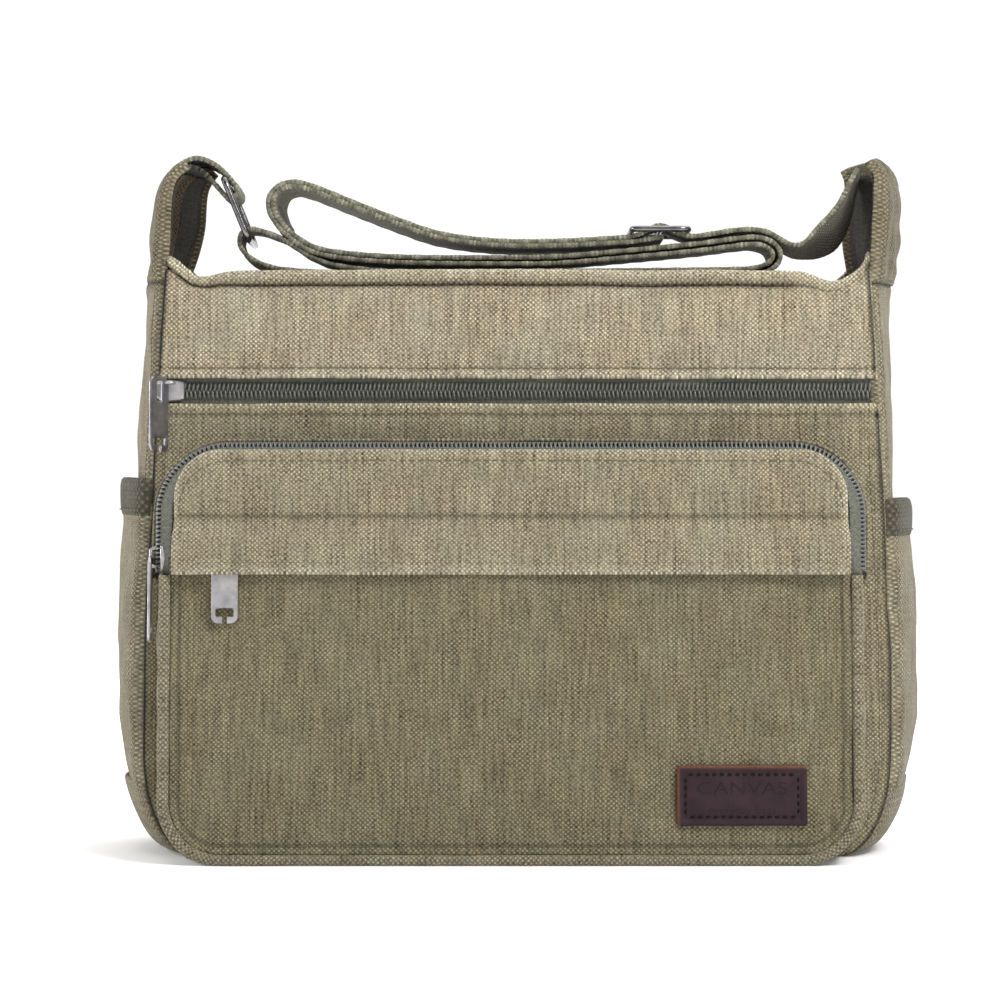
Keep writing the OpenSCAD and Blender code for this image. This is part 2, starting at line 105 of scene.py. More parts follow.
def seam_x(z):
    """Half the bag's width at this height, along its side seam."""
    z = np.asarray(z, float)
    corner = CORNER_W * (1 - np.sqrt(np.clip(1 - (np.maximum(CORNER_H - z, 0) / CORNER_H) ** 2, 0, 1)))
    return PANEL_W - corner - 8 * (np.maximum(0, z - 90) / 167) ** 1.2


def waves(seed, u, v, length, height, stretch=1.0):
    """Soft wrinkles: a seeded sum of sines about this long and high, drawn out along v by stretch."""
    r = np.random.default_rng(seed)
    total = 0 * (u + v)
    for _ in range(10):
        a = r.uniform(0, 2 * np.pi)
        k = 2 * np.pi / (length * r.uniform(0.6, 2.0))
        total = total + np.sin(k * (np.cos(a) * u + np.sin(a) * v / stretch) + r.uniform(0, 6.28))
    return height * total / 3


def turned_x(points, angle, at):
    """Points (x, y, z) turned about X by -angle and moved to at."""
    c, s = math.cos(angle), math.sin(angle)
    x, y, z = points[..., 0], points[..., 1], points[..., 2]
    return join(x + at[0], y * c + z * s + at[1], -y * s + z * c + at[2])


def on_front(points, z=0.0):
    return turned_x(points, LEAN, (0, -half_depth(z), z))


def on_back(points, z=0.0):
    return on_front(points, z) * (-1, -1, 1)


def on_pocket(points):
    """The pocket's own plane; it is sewn on slightly off the middle."""
    return turned_x(points, POCKET_LEAN, (0, pocket_y(0), 0)) * (0.982, 1, 1) - (2.8, 0, 0)


def on_top(points):
    return join(points[..., 0], points[..., 2], TOP_ZIP_Z - points[..., 1])


# ---- Meshes ----------------------------------------------------------------------------------
def piece(name, verts, faces, material, body="bag", uv=None, wear_and_shade=None, replaces=(), slot=None):
    """A mesh in metres with its cloth coordinates (mm) and its wear and painted shade attribute, riding on a
    body.
    """
    mesh = bpy.data.meshes.new(name)
    verts = np.array(verts, float)
    verts[:, 2] = np.maximum(verts[:, 2], 0)
    mesh.from_pydata((verts * MM).tolist(), [], [list(map(int, f)) for f in faces])
    mesh.validate()
    mesh.update()
    uv = verts[:, [0, 2]] if uv is None else np.asarray(uv, float)
    index = np.zeros(len(mesh.loops), np.int32)
    mesh.loops.foreach_get("vertex_index", index)
    mesh.uv_layers.new(name="cloth").data.foreach_set("uv", uv[index].astype(np.float32).ravel())
    layer = mesh.attributes.new("wear_and_shade", "FLOAT", "POINT")
    layer.data.foreach_set("value", np.asarray(np.zeros(len(verts)) if wear_and_shade is None else wear_and_shade, np.float32))
    mesh.shade_smooth()
    obj = bpy.data.objects.new(name, mesh)
    bpy.context.scene.collection.objects.link(obj)
    mesh.materials.append(material)
    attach(obj, body)
    if replaces:
        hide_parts(*replaces)
    slot or "canvas"
    return obj


def grid(a, b):
    """Two full arrays: a changes down the rows and b along them."""
    return np.meshgrid(a, b, indexing="ij")


def run_length(p):
    """Distance along a row of points."""
    return np.concatenate([[0], np.cumsum(np.linalg.norm(np.diff(p, axis=0), axis=1))])


def sampled(at, s, rows):
    """Each column of rows, read at these distances."""
    return np.stack([np.interp(at, s, rows[:, k]) for k in range(rows.shape[1])], -1)


def hoops(n, m, closed=False):
    """Faces between n rings of m points."""
    faces = []
    for i in range(n if closed else n - 1):
        b = (i + 1) % n
        faces += [[i * m + j, i * m + (j + 1) % m, b * m + (j + 1) % m, b * m + j] for j in range(m)]
    return faces


def end_caps(n, m):
    return [list(range(m))[::-1], [(n - 1) * m + j for j in range(m)]]


def unit(v):
    return v / np.maximum(np.linalg.norm(v, axis=-1, keepdims=True), 1e-9)


def grid_normals(p):
    return unit(np.cross(np.gradient(p, axis=0), np.gradient(p, axis=1)))


def border(m, n):
    """Indices round the edge of an m x n grid."""
    top = [(0, j) for j in range(n)]
    right = [(i, n - 1) for i in range(1, m)]
    bottom = [(m - 1, j) for j in range(n - 2, -1, -1)]
    left = [(i, 0) for i in range(m - 2, 0, -1)]
    return np.array(top + right + bottom + left)


def slab(name, p, thick, material, uv, flip=False, wear_and_shade=None, steps=3, **kind):
    """A closed sheet: the grid p is its outer side, and its rim is half round."""
    m, n = p.shape[:2]
    normal = grid_normals(p) * (-1 if flip else 1)
    inner = p - normal * thick
    loop = border(m, n)
    li, lj = loop[:, 0], loop[:, 1]
    du = unit(np.gradient(p, axis=0))[li, lj]
    dv = unit(np.gradient(p, axis=1))[li, lj]
    past_u = ((li == m - 1) * 1.0 - (li == 0))[:, None]
    past_v = ((lj == n - 1) * 1.0 - (lj == 0))[:, None]
    out = unit(du * past_u + dv * past_v)
    middle = (p + inner)[li, lj] / 2
    rims = []
    for k in range(1, steps):
        a = math.pi * k / steps
        rims.append(middle + (normal[li, lj] * math.cos(a) + out * math.sin(a)) * thick / 2)
    count = m * n
    ring = loop[:, 0] * n + loop[:, 1]
    between = [2 * count + k * len(ring) + np.arange(len(ring)) for k in range(steps - 1)]
    rows = [ring] + between + [ring + count]
    i, j = np.meshgrid(np.arange(m - 1), np.arange(n - 1), indexing="ij")
    a = (i * n + j).ravel()
    quads = np.stack([a, a + n, a + n + 1, a + 1], 1)
    faces = [quads, quads[:, ::-1] + count]
    for r0, r1 in zip(rows, rows[1:]):
        faces.append(np.stack([r0, np.roll(r0, -1), np.roll(r1, -1), r1], 1))
    faces = np.concatenate(faces)
    if flip:
        faces = faces[:, ::-1]
    verts = np.concatenate([p.reshape(-1, 3), inner.reshape(-1, 3)] + rims)
    uvs = np.concatenate([uv.reshape(-1, 2)] * 2 + [uv[li, lj]] * (steps - 1))
    worn = np.zeros((m, n)) if wear_and_shade is None else wear_and_shade
    worn = np.concatenate([worn.ravel(), worn.ravel() * 0] + [worn[li, lj]] * (steps - 1))
    return piece(name, verts, faces, material, uv=uvs, wear_and_shade=worn, **kind)


def frames(path, up):
    """Along, across and up directions at each point of a path."""
    t = unit(np.gradient(path, axis=0))
    across = unit(np.cross(up, t))
    return t, across, np.cross(t, across)


def tube(path, radius, sides=10, up=(0, 0, 1), flat=1.0, closed=False):
    """Verts and faces of a tube; flat squeezes it along up."""
    path = np.asarray(path, float)
    if closed:
        ext = np.concatenate([path[-1:], path, path[:1]])
        _, across, top = (f[1:-1] for f in frames(ext, np.array(up, float)))
    else:
        _, across, top = frames(path, np.array(up, float))
    a = np.arange(sides) / sides * 2 * np.pi
    radius = np.broadcast_to(radius, len(path))[:, None, None]
    ring = across[:, None] * np.cos(a)[:, None] + top[:, None] * np.sin(a)[:, None] * flat
    verts = path[:, None] + radius * ring
    faces = hoops(len(path), sides, closed) + ([] if closed else end_caps(len(path), sides))
    return verts.reshape(-1, 3), faces


class Pile:
    """Many small bodies gathered into one mesh."""

    def __init__(self):
        self.verts, self.faces, self.count = [], [], 0

    def add(self, verts, faces):
        self.verts.append(verts)
        self.faces += [[int(i) + self.count for i in f] for f in faces]
        self.count += len(verts)

    def piece(self, name, material, **kind):
        return piece(name, np.concatenate(self.verts), self.faces, material, **kind)


def ball_tube(sides=6):
    """A capsule along X from 0 to 1 with unit radius: (position along, y, z) and faces."""
    x = np.array([0, 0.06, 0.3, 0.7, 0.94, 1.0])
    r = np.array([0.25, 0.8, 1, 1, 0.8, 0.25])
    a = np.arange(sides) / sides * 2 * np.pi
    verts = np.stack([np.repeat(x, sides), np.outer(r, np.cos(a)).ravel(), np.outer(r, np.sin(a)).ravel()], 1)
    return verts, hoops(len(x), sides) + end_caps(len(x), sides)


CAPSULE = ball_tube()


def stitches(pile, surface, route, length=3.0, space=1.0, radius=0.32, sink=0.12, jitter=0.15, seed=3):
    """Thread along a route of surface coordinates, each stitch arched out of the cloth."""
    r = np.random.default_rng(seed)
    route = np.asarray(route, float)
    p = surface(route[:, 0], route[:, 1])
    e = 0.4
    pu = surface(route[:, 0] + e, route[:, 1]) - p
    pv = surface(route[:, 0], route[:, 1] + e) - p
    normal = unit(np.cross(pu, pv))
    s = run_length(p)
    at = np.arange(space, s[-1] - length, length + space)
    shape, faces = CAPSULE
    for start in at:
        t = start + shape[:, 0] * length + r.uniform(-jitter, jitter)
        centre = sampled(t, s, p)
        n = unit(sampled(t, s, normal))
        along = unit(sampled(t + 0.5, s, p) - sampled(t - 0.5, s, p))
        across = np.cross(n, along)
        lift = radius * 0.55 * np.sin(np.pi * shape[:, 0]) - sink
        verts = centre + n * (shape[:, 1] * radius + lift)[:, None] + across * (shape[:, 2] * radius)[:, None]
        pile.add(verts, faces)


def spline(points, n):
    """The same Catmull-Rom curve as the frame's strap."""
    p = np.array(points, float)
    q = np.concatenate([p[:1], p, p[-1:]])
    t = (np.arange(n) / n)[:, None]
    parts = [0.5 * (2 * b + (c - a) * t + (2 * a - 5 * b + 4 * c - d) * t ** 2
                    + (3 * b - a - 3 * c + d) * t ** 3)
             for a, b, c, d in zip(q, q[1:], q[2:], q[3:])]
    return np.concatenate(parts + [p[-1:]])


def resample(path, step):
    s = run_length(path)
    return sampled(np.linspace(0, s[-1], max(2, int(s[-1] / step))), s, path)


# ---- Materials -------------------------------------------------------------------------------
class Shader:
    """A Principled material under construction."""

    def __init__(self, name, **fixed):
        self.material = bpy.data.materials.new(name)
        self.material.use_nodes = True
        self.tree = self.material.node_tree
        self.bsdf = self.tree.nodes["Principled BSDF"]
        for key, value in fixed.items():
            self.bsdf.inputs[key.replace("_", " ")].default_value = value

    def node(self, kind, out=0, inputs=(), **settings):
        node = self.tree.nodes.new("ShaderNode" + kind)
        for key, value in settings.items():
            setattr(node, key, value)
        for key, value in dict(inputs).items():
            if isinstance(value, bpy.types.NodeSocket):
                self.tree.links.new(value, node.inputs[key])
            else:
                node.inputs[key].default_value = value
        return node.outputs[out]

    def math(self, operation, a, b=0.0, c=0.0):
        return self.node("Math", inputs={0: a, 1: b, 2: c}, operation=operation)

    def scaled(self, value, by, plus):
        return self.math("MULTIPLY_ADD", value, by, plus)

    def vector(self, operation, a, b=(0, 0, 0), scale=None):
        inputs = {0: a} if operation == "SCALE" else {0: a, 1: b}
        if scale is not None:
            inputs["Scale"] = scale
        return self.node("VectorMath", inputs=inputs, operation=operation)

    def mix(self, factor, a, b):
        return self.node("Mix", out=2, inputs={0: factor, 6: a, 7: b}, data_type="RGBA")

    def noise(self, where, scale, detail=2.0, out=0, rough=0.5):
        inputs = {"Vector": where, "Scale": scale, "Detail": detail, "Roughness": rough}
        return self.node("TexNoise", out=out, inputs=inputs)

    def cloth(self):
        return self.node("UVMap", uv_map="cloth")

    def place(self):
        """Object coordinates in millimetres."""
        return self.vector("SCALE", self.node("TexCoord", out=3), scale=1 / MM)

    def wear_and_shade(self):
        return self.node("Attribute", out=2, attribute_name="wear_and_shade")

    def finish(self, colour=None, height=None, distance=0.1, strength=1.0, roughness=None):
        if colour is not None:
            self.tree.links.new(colour, self.bsdf.inputs["Base Color"])
        if roughness is not None:
            self.tree.links.new(roughness, self.bsdf.inputs["Roughness"])
        if height is not None:
            inputs = {"Height": height, "Strength": strength, "Distance": distance * MM}
            bump = self.node("Bump", inputs=inputs)
            self.tree.links.new(bump, self.bsdf.inputs["Normal"])
        return self.material


def colour(r, g, b):
    return (r, g, b, 1.0)


def woven(name, warm, cool, worn, pitch=(2.2, 2.0), dots=0.62, slub=0.85, mottle=0.5, bump=0.22, sheen=0.1):
    """Plain weave: warp and weft come up by turns, two to a pitch, with slubs, washed patches and wear.
    Negative values of the wear attribute are painted shade, with some dirt, down in seams and recesses."""
    s = Shader(name, Roughness=0.92, Sheen_Weight=sheen, Sheen_Roughness=0.5, Specular_IOR_Level=0.15)
    uv = s.cloth()
    drift = s.vector("SUBTRACT", s.noise(uv, 0.16, 3, out=1), (0.5, 0.5, 0.5))
    where = s.vector("ADD", uv, s.vector("SCALE", drift, scale=1.5))
    axes = s.tree.nodes.new("ShaderNodeSeparateXYZ")
    s.tree.links.new(where, axes.inputs[0])
    across = s.math("SINE", s.math("MULTIPLY", axes.outputs[0], 2 * math.pi / pitch[0]))
    along = s.math("SINE", s.math("MULTIPLY", axes.outputs[1], 2 * math.pi / pitch[1]))
    knots = s.math("MULTIPLY", across, along)
    warp = s.noise(s.vector("MULTIPLY", where, (1.6 / pitch[0], 0.04, 1)), 1.0, 2)
    weft = s.noise(s.vector("MULTIPLY", where, (0.05, 1.6 / pitch[1], 1)), 1.0, 2)
    threads = s.math("ADD", s.math("MULTIPLY", warp, 1.5), s.math("MULTIPLY", weft, 0.5))
    grain = s.noise(uv, 0.75, 2)
    patches = s.noise(uv, 0.035, 5, rough=0.62)
    speck = s.noise(uv, 1.9, 1)
    # Raised knots are made lighter and the gaps between them darker: partly wear on the knots, partly painted
    # shade in the gaps.
    lit = s.math("POWER", s.math("MAXIMUM", knots, 0.0), 1.2)
    lit = s.math("MULTIPLY", lit, s.scaled(speck, 3.0, -0.5))
    washed = s.scaled(s.noise(uv, 0.09, 3), 1.8, -0.1)
    lit = s.math("MULTIPLY", lit, washed)
    low = s.math("MULTIPLY", s.math("MINIMUM", knots, 0.0), 0.3 * dots)
    value = s.math("ADD", low, s.scaled(lit, 2.3 * dots, 1 - 0.3 * dots))
    value = s.math("ADD", value, s.scaled(threads, slub, -slub))
    value = s.math("ADD", value, s.scaled(grain, 1.3, -0.65))
    value = s.math("ADD", value, s.scaled(patches, mottle, -mottle / 2))
    tint = s.mix(s.scaled(patches, 3.0, -1.0), colour(*warm), colour(*cool))
    rubbed = s.math("MULTIPLY", s.math("MAXIMUM", s.wear_and_shade(), 0.0), s.scaled(grain, 1.2, 0.1))
    tint = s.mix(rubbed, tint, colour(*worn))
    # Painted shade: negative values of the wear attribute darken seams and recesses.
    painted_seam_shade = s.scaled(s.math("MINIMUM", s.wear_and_shade(), 0.0), 0.85, 1.0)
    shade = s.vector("SCALE", tint, scale=s.math("MULTIPLY", s.math("MAXIMUM", value, 0.12), painted_seam_shade))
    height = s.math("ADD", s.math("MULTIPLY", knots, 0.5), s.math("ADD", threads, grain))
    return s.finish(shade, height, distance=bump)


def metal(name, base, dark, rough=0.34):
    s = Shader(name, Metallic=1.0, Specular_IOR_Level=0.5)
    where = s.place()
    smudge = s.noise(where, 0.22, 4)
    brushed = s.noise(s.vector("MULTIPLY", where, (0.5, 3.0, 3.0)), 1.0, 3)
    shade = s.mix(s.scaled(smudge, 2.4, -0.7), colour(*dark), colour(*base))
    roughness = s.scaled(brushed, 0.3, rough - 0.12)
    pits = s.noise(where, 1.6, 3)
    return s.finish(shade, s.math("ADD", brushed, pits), 0.02, 0.6, roughness)


def nylon(name, base):
    s = Shader(name, Roughness=0.36, Specular_IOR_Level=0.5)
    where = s.place()
    tone = s.noise(where, 0.5, 3)
    shade = s.mix(tone, colour(*(0.55 * np.array(base))), colour(*(1.5 * np.array(base))))
    return s.finish(shade, s.noise(where, 2.5, 2), 0.03, 0.5)


def yarn(name, base, sheen=0.1):
    s = Shader(name, Roughness=0.85, Sheen_Weight=sheen, Specular_IOR_Level=0.2)
    where = s.place()
    twist = s.noise(s.vector("MULTIPLY", where, (2.4, 2.4, 2.4)), 1.0, 2)
    shade = s.vector("SCALE", colour(*base)[:3], scale=s.scaled(twist, 1.1, 0.45))
    return s.finish(shade, twist, 0.1)


def leather(name, base, raw):
    s = Shader(name, Roughness=0.6, Specular_IOR_Level=0.22)
    uv = s.cloth()
    cells = s.node("TexVoronoi", inputs={"Vector": uv, "Scale": 1.3}, feature="DISTANCE_TO_EDGE")
    cloud = s.noise(uv, 0.12, 5)
    fine = s.noise(uv, 1.5, 3)
    tone = s.scaled(cloud, 1.0, s.scaled(fine, 1.2, -0.15))
    shade = s.vector("SCALE", colour(*base)[:3], scale=tone)
    edge = s.math("MULTIPLY", s.wear_and_shade(), s.scaled(fine, 1.6, 0.1))
    shade = s.mix(edge, shade, colour(*raw))
    return s.finish(shade, s.math("ADD", s.math("MULTIPLY", cells, 0.8), fine), 0.12, 0.7)


def floor_material():
    """White paper that glows, as painted light: faintly beside the bag and more strongly away from it."""
    s = Shader("pale_floor", Roughness=1.0, Specular_IOR_Level=0.0, Emission_Color=(1, 1, 1, 1))
    where = s.node("TexCoord", out=3)
    far = s.node("VectorMath", out=1, inputs={0: where}, operation="LENGTH")
    glow = s.node("MapRange", inputs={"Value": far, "From Min": 0.22, "From Max": 0.8,
                                      "To Min": 0.10, "To Max": 0.7})
    s.tree.links.new(glow, s.bsdf.inputs["Emission Strength"])
    tone = s.noise(where, 2, 2)
    return s.finish(s.mix(tone, colour(0.80, 0.80, 0.80), colour(0.82, 0.82, 0.82)))


def canvas(name, tone, grey=1.0):
    """The bag's canvas at this tone; the copies below differ only in tone, as painted light and shade."""
    warm, cool, worn = (0.282, 0.236, 0.150), (0.262, 0.236, 0.158), (0.42, 0.38, 0.27)
    return woven(name, *((tone * r, tone * g, tone * grey * b) for r, g, b in (warm, cool, worn)))


# Lit and shaded copies of one canvas, as painted light and shade: the upper panels lightest, then the strip
# below the zip and the yoke, with the sides and the pocket's face darkest.
CLOTH = canvas("washed_canvas", 0.96, 1.06)
CLOTH_STRIP = canvas("washed_canvas_strip_painted_shade", 0.74)
CLOTH_YOKE = canvas("washed_canvas_yoke_painted_shade", 0.75, 1.02)
CLOTH_FACE = canvas("washed_canvas_pocket_painted_shade", 0.53, 0.93)
CLOTH_SIDE = canvas("washed_canvas_side_painted_shade", 0.57)
CLOTH_DARK = woven("shaded_canvas", (0.135, 0.100, 0.064), (0.112, 0.09, 0.062), (0.2, 0.165, 0.11))
WEBBING = woven("ribbed_webbing", (0.155, 0.145, 0.103), (0.140, 0.140, 0.103), (0.34, 0.32, 0.24),
                pitch=(3.8, 2.0), dots=0.6, slub=0.5, mottle=0.3, bump=0.35)
# The side pockets' binding is a darker copy of the strap's webbing, as painted shade on the bag's sides.
BINDING = woven("side_binding", (0.068, 0.06, 0.041), (0.06, 0.056, 0.04), (0.15, 0.14, 0.1),
                pitch=(3.8, 2.0), dots=0.6, slub=0.5, mottle=0.3, bump=0.35)
TAPE = woven("zip_tape", (0.105, 0.108, 0.084), (0.095, 0.10, 0.082), (0.15, 0.15, 0.12),
             pitch=(1.2, 1.2), dots=0.3, slub=0.3, mottle=0.2, bump=0.08)
LINING = woven("woven_lining", (0.034, 0.031, 0.028), (0.026, 0.026, 0.026), (0.06, 0.058, 0.05),
               pitch=(1.0, 1.0), dots=0.3, slub=0.4, mottle=0.5, bump=0.06)
# The ears' lining is a lighter copy of the bag's lining, as painted light where it shows at the top.
EAR_LINING = woven("ear_lining", (0.078, 0.072, 0.062), (0.062, 0.06, 0.054), (0.1, 0.095, 0.08),
                   pitch=(1.2, 1.2), dots=0.35, slub=0.5, mottle=0.6, bump=0.08)
COIL = nylon("coil_nylon", (0.10, 0.10, 0.092))
THREAD = yarn("canvas_thread", (0.11, 0.092, 0.058))
DARK_THREAD = yarn("dark_thread", (0.005, 0.004, 0.004), 0.0)
EMBOSSED = leather("embossed_leather", (0.014, 0.007, 0.0095), (0.03, 0.02, 0.02))
GUNMETAL = metal("gunmetal_plate", (0.37, 0.355, 0.375), (0.20, 0.19, 0.205))
WIRE = metal("dark_polished_wire", (0.20, 0.195, 0.195), (0.09, 0.088, 0.09), rough=0.2)
SILVER = metal("antique_silver", (0.56, 0.54, 0.545), (0.34, 0.33, 0.33), rough=0.4)
LEATHER = leather("label_leather", (0.026, 0.0118, 0.0165), (0.12, 0.045, 0.022))

# ---- Front and back panels ---------------------------------------------------------------------
HEM = 5.7
EDGE_R = 3.6
TOP_STITCH = 3.6


def upper_foot(back=False):
    return BACK_SLOT_HIGH if back else SLOT_HIGH + 1.2


def lower_head(back=False):
    return BACK_SLOT_HIGH - 10 if back else SLOT_LOW - 1.6


def top_edge(x, back=False):
    """Height of the rolled edge: it dips beside the ears and rises to meet them."""
    x = -np.asarray(x, float) if back else np.asarray(x, float)
    dip = 2.9 * hump(x, -140, 9) + 4.8 * hump(x, 139, 9)
    rise = 6 * smooth(-x, 143, 158) + 12 * np.clip((x - 146) / 13, 0, 1.1) ** 2
    return HEM_Z + 0.3 - dip + rise + waves(5, x, 0 * x, 60, 0.25)


def edge_roll(d, r=EDGE_R):
    """How far an edge has turned back at distance d from it."""
    d = np.clip(d, 0, r)
    return r - np.sqrt(np.maximum(r * r - (r - d) ** 2, 0))


def pucker(u, d, pitch, height, reach, seed=0):
    """Little gathers beside a seam at distance d."""
    wobble = waves(seed + 40, u, d, 30, 2.5)
    return height * np.sin(2 * np.pi * (u + wobble) / pitch) * np.exp(-(d / reach) ** 2)


def panel_out(x, z, seed):
    """How far a panel's cloth stands out of its plane: belly, wrinkles and side seam."""
    d = seam_x(z) - np.abs(x)
    out = 1.6 * smooth(d, 0, 40) + waves(seed, x, z, 70, 0.9) + waves(seed + 1, x, z, 24, 0.28)
    out = out - edge_roll(d) - 0.55 * hump(d, EDGE_R + 3, 1.1)
    return out + pucker(z, np.abs(d - 7), 8.5, 0.28, 5, seed)


def hem_share(x):
    """The hem gets narrower towards the ears."""
    return 1 - 0.42 * smooth(np.abs(x), 118, 148)


def on_panel(x, z, out, back):
    """Points standing out from the front or back panel's plane."""
    place = turned_x(join(x, -out, 0 * x), LEAN, (0, 0, 0))
    place = place + join(0 * x, -half_depth(z), z)
    return place * (-1, -1, 1) if back else place


def panel_upper(x, z, back=False):
    d = (top_edge(x, back) - z) / hem_share(x)
    fade = 1 - smooth(x, 112, 140) * (0 if back else 0.75)
    roll = np.sqrt(np.clip(1 - ((d - HEM / 2) / (HEM / 2)) ** 2, 0, 1))
    twill = np.sin(2 * np.pi * (x + 0.8 * d + waves(3, x, d, 20, 0.8)) / 3.1)
    slant = 0.42 * (1 - smooth(np.abs(x), 112, 132)) * twill * (d < HEM)
    out = panel_out(x, z, 11) + fade * (2.3 * roll + slant) - 1.5 * hump(d, HEM + 0.8, 1.0) * fade
    e = z - upper_foot(back)
    out = out + pucker(x, np.abs(d - HEM - 1), 7.5, 0.3, 4) - 0.45 * hump(e, TOP_STITCH, 1.0)
    out = out + pucker(x, np.abs(e - TOP_STITCH), 9.5, 0.22, 3.5, 2)
    out = out + 0.8 * smooth(e, 4, 16) * smooth(d, 6, 16)
    return on_panel(x, z, out, back)


def panel_lower(x, z, back=False):
    slot = lower_head(back)
    e = slot - z
    inside = 1.0
    if back:
        inside = smooth(BACK_ZIP_HALF + 8 - np.abs(x), 0, 6)
        e = np.abs(e)
    out = panel_out(x, z, 21) - 0.45 * hump(e, TOP_STITCH, 1.0) * inside
    out = out + pucker(x, np.abs(e - TOP_STITCH), 9, 0.22, 3.5, 5) * inside
    if back:
        under = 1 - smooth(z, 128, 165)
        belly = 3.4 * smooth(z, 10, 90) * smooth(PANEL_W - np.abs(x), 6, 90) + waves(71, x, z, 95, 1.0)
        out = out + belly * under
    out = out - edge_roll(z, 3.0)
    return on_panel(x, z, out, back)


def edge_wear(*distances, reach=3.0, amount=0.7):
    """Rubbed, lighter cloth near edges at these distances."""
    worn = 0
    for d in distances:
        worn = np.maximum(worn, np.exp(-np.maximum(d, 0) / reach) * amount)
    return worn


def seam_shade(d, width):
    """Painted shade, with some dirt, down in a seam at distance 0."""
    return 1.2 * hump(d, 0, width)


def side_shade(x, z):
    return seam_shade(seam_x(z) - np.abs(x) - 1.8, 1.0)


def panels():
    t = np.linspace(0, 1, 52)[None, :]
    s = np.linspace(-1, 1, 281)[:, None]
    reach = np.where(s > 0, 0.3, 2.0)
    for side, back in (("front", False), ("back", True)):
        low = upper_foot(back)
        ends = 1 - (2.0 if back else reach) / PANEL_W
        z = low + (top_edge(s * 157, back) - low) * t ** 0.9
        x = s * seam_x(z) * ends
        edge = (top_edge(x, back) - z) / hem_share(x)
        fade = 1 - smooth(x, 112, 140) * (0 if back else 0.9)
        # Negative terms are painted shade: in the groove under the hem, along the side seams and along the
        # topstitching.
        wear_and_shade = edge_wear(edge, z - low, reach=2.2) - seam_shade(edge - HEM - 0.9, 0.9) * fade
        wear_and_shade = wear_and_shade - side_shade(x, z) - 0.5 * seam_shade(z - low - TOP_STITCH, 0.7)
        slab(side + "_upper_canvas", panel_upper(x, z, back), CANVAS, CLOTH, join(x, z),
             wear_and_shade=wear_and_shade, replaces=[side + "_panel_upper"])
    z = np.concatenate([np.linspace(0.4, 40, 26), np.linspace(42, lower_head(), 80)])[None, :] + 0 * s
    x = s * seam_x(z) * (1 - reach / PANEL_W)
    # Painted shade along the side seams and the topstitching under the zip.
    wear_and_shade = edge_wear(lower_head() - z, reach=2.2) - side_shade(x, z)
    wear_and_shade = wear_and_shade - 0.5 * seam_shade(lower_head() - z - TOP_STITCH, 0.7)
    slab("front_lower_canvas", panel_lower(x, z), CANVAS, CLOTH_STRIP, join(x, z), wear_and_shade=wear_and_shade,
         replaces=["front_panel_lower"])
    back_panel_lower()


def back_panel_lower():
    """The back below its zip: two side leaves reach up beside the slot."""
    slot = BACK_SLOT_HIGH - 10
    s = np.linspace(-1, 1, 221)[:, None]
    z = np.concatenate([np.linspace(0.4, 40, 26), np.linspace(42, slot, 74)])[None, :] + 0 * s
    x = s * seam_x(z) * (1 - 2.0 / PANEL_W)
    # Painted shade along the side seams.
    wear_and_shade = edge_wear(slot - z, reach=2.2) - side_shade(x, z)
    slab("back_lower_canvas", panel_lower(x, z, True), CANVAS, CLOTH_STRIP, join(x + 400, z),
         wear_and_shade=wear_and_shade, replaces=["back_panel_lower"])
    z = np.linspace(slot - 0.5, BACK_SLOT_HIGH - 0.2, 8)[None, :]
    for name, sign in (("left", -1), ("right", 1)):
        t = np.linspace(0, 1, 22)[:, None]
        x = sign * (BACK_ZIP_HALF + (seam_x(z) * (1 - 2.0 / PANEL_W) - BACK_ZIP_HALF) * t)
        slab("back_zip_end_" + name, panel_lower(x, z + 0 * t, True), CANVAS, CLOTH_STRIP,
             join(x + 400, z + 0 * t), flip=sign < 0)


def seam_threads():
    pile = Pile()
    x = np.linspace(-153, 153, 200)
    for back in (False, True):
        hem = (HEM + 0.7) * hem_share(x)

        def upper(u, v, back=back):
            return panel_upper(u, v, back)

        def lower(u, v, back=back):
            return panel_lower(u, v, back)
        stitches(pile, upper, np.stack([x, top_edge(x, back) - hem], 1), seed=1)
        stitches(pile, upper, np.stack([x, 0 * x + upper_foot(back) + TOP_STITCH], 1), seed=2)
        stitches(pile, lower, np.stack([x, 0 * x + lower_head(back) - TOP_STITCH], 1), seed=3)
        for sign in (-1, 1):
            z = np.linspace(12, 190, 90)
            stitches(pile, lower, np.stack([sign * (seam_x(z) - EDGE_R - 3), z], 1), seed=4)
    for sign in (-1, 1):
        z = np.linspace(BACK_SLOT_HIGH - 13, BACK_SLOT_HIGH + 3, 9)
        end = np.stack([0 * z + sign * (BACK_ZIP_HALF + 3), z], 1)
        stitches(pile, lambda u, v: panel_lower(u, v, True), end)
    pile.piece("panel_stitching", THREAD)


# ---- Gussets, ears and base --------------------------------------------------------------------
EAR_ROWS = {-1: [[157, 251.4, 11, 29], [156, 262, 10.5, 28], [155.5, 275, 10, 26.5], [155, 287, 8.5, 24],
                 [153.5, 297, 6.5, 22], [151, 303, 4.5, 20.5], [148.3, 306.4, 2.5, 20]],
            1: [[157.1, 252.6, 11, 29], [158, 262, 12, 28], [159, 275, 13, 26.5], [160, 287, 12.5, 24],
                [160.5, 297, 11, 22], [160, 303, 8, 20.5], [158.2, 307.2, 3.5, 20]]}
EAR_TUCK = {-1: 8.6, 1: 6}
EAR_SEAM = 252
GUSSET_FOOT = 30
SEAM_ALLOWANCE = 1.2


def gusset_rows(side):
    z = np.arange(29.5, 246, 2.5)
    bulge = 7.2 + 2.0 * smooth(z, 150, 190)
    low = np.stack([seam_x(z), z, bulge, half_depth(z) - CANVAS - 0.2], 1)
    return np.concatenate([low, spline(EAR_ROWS[side], 6)])


def swell(t):
    """Profile of a cloth strip that bulges between its two seams."""
    return np.sin(np.pi * np.clip(t, 0, 1)) ** 0.7


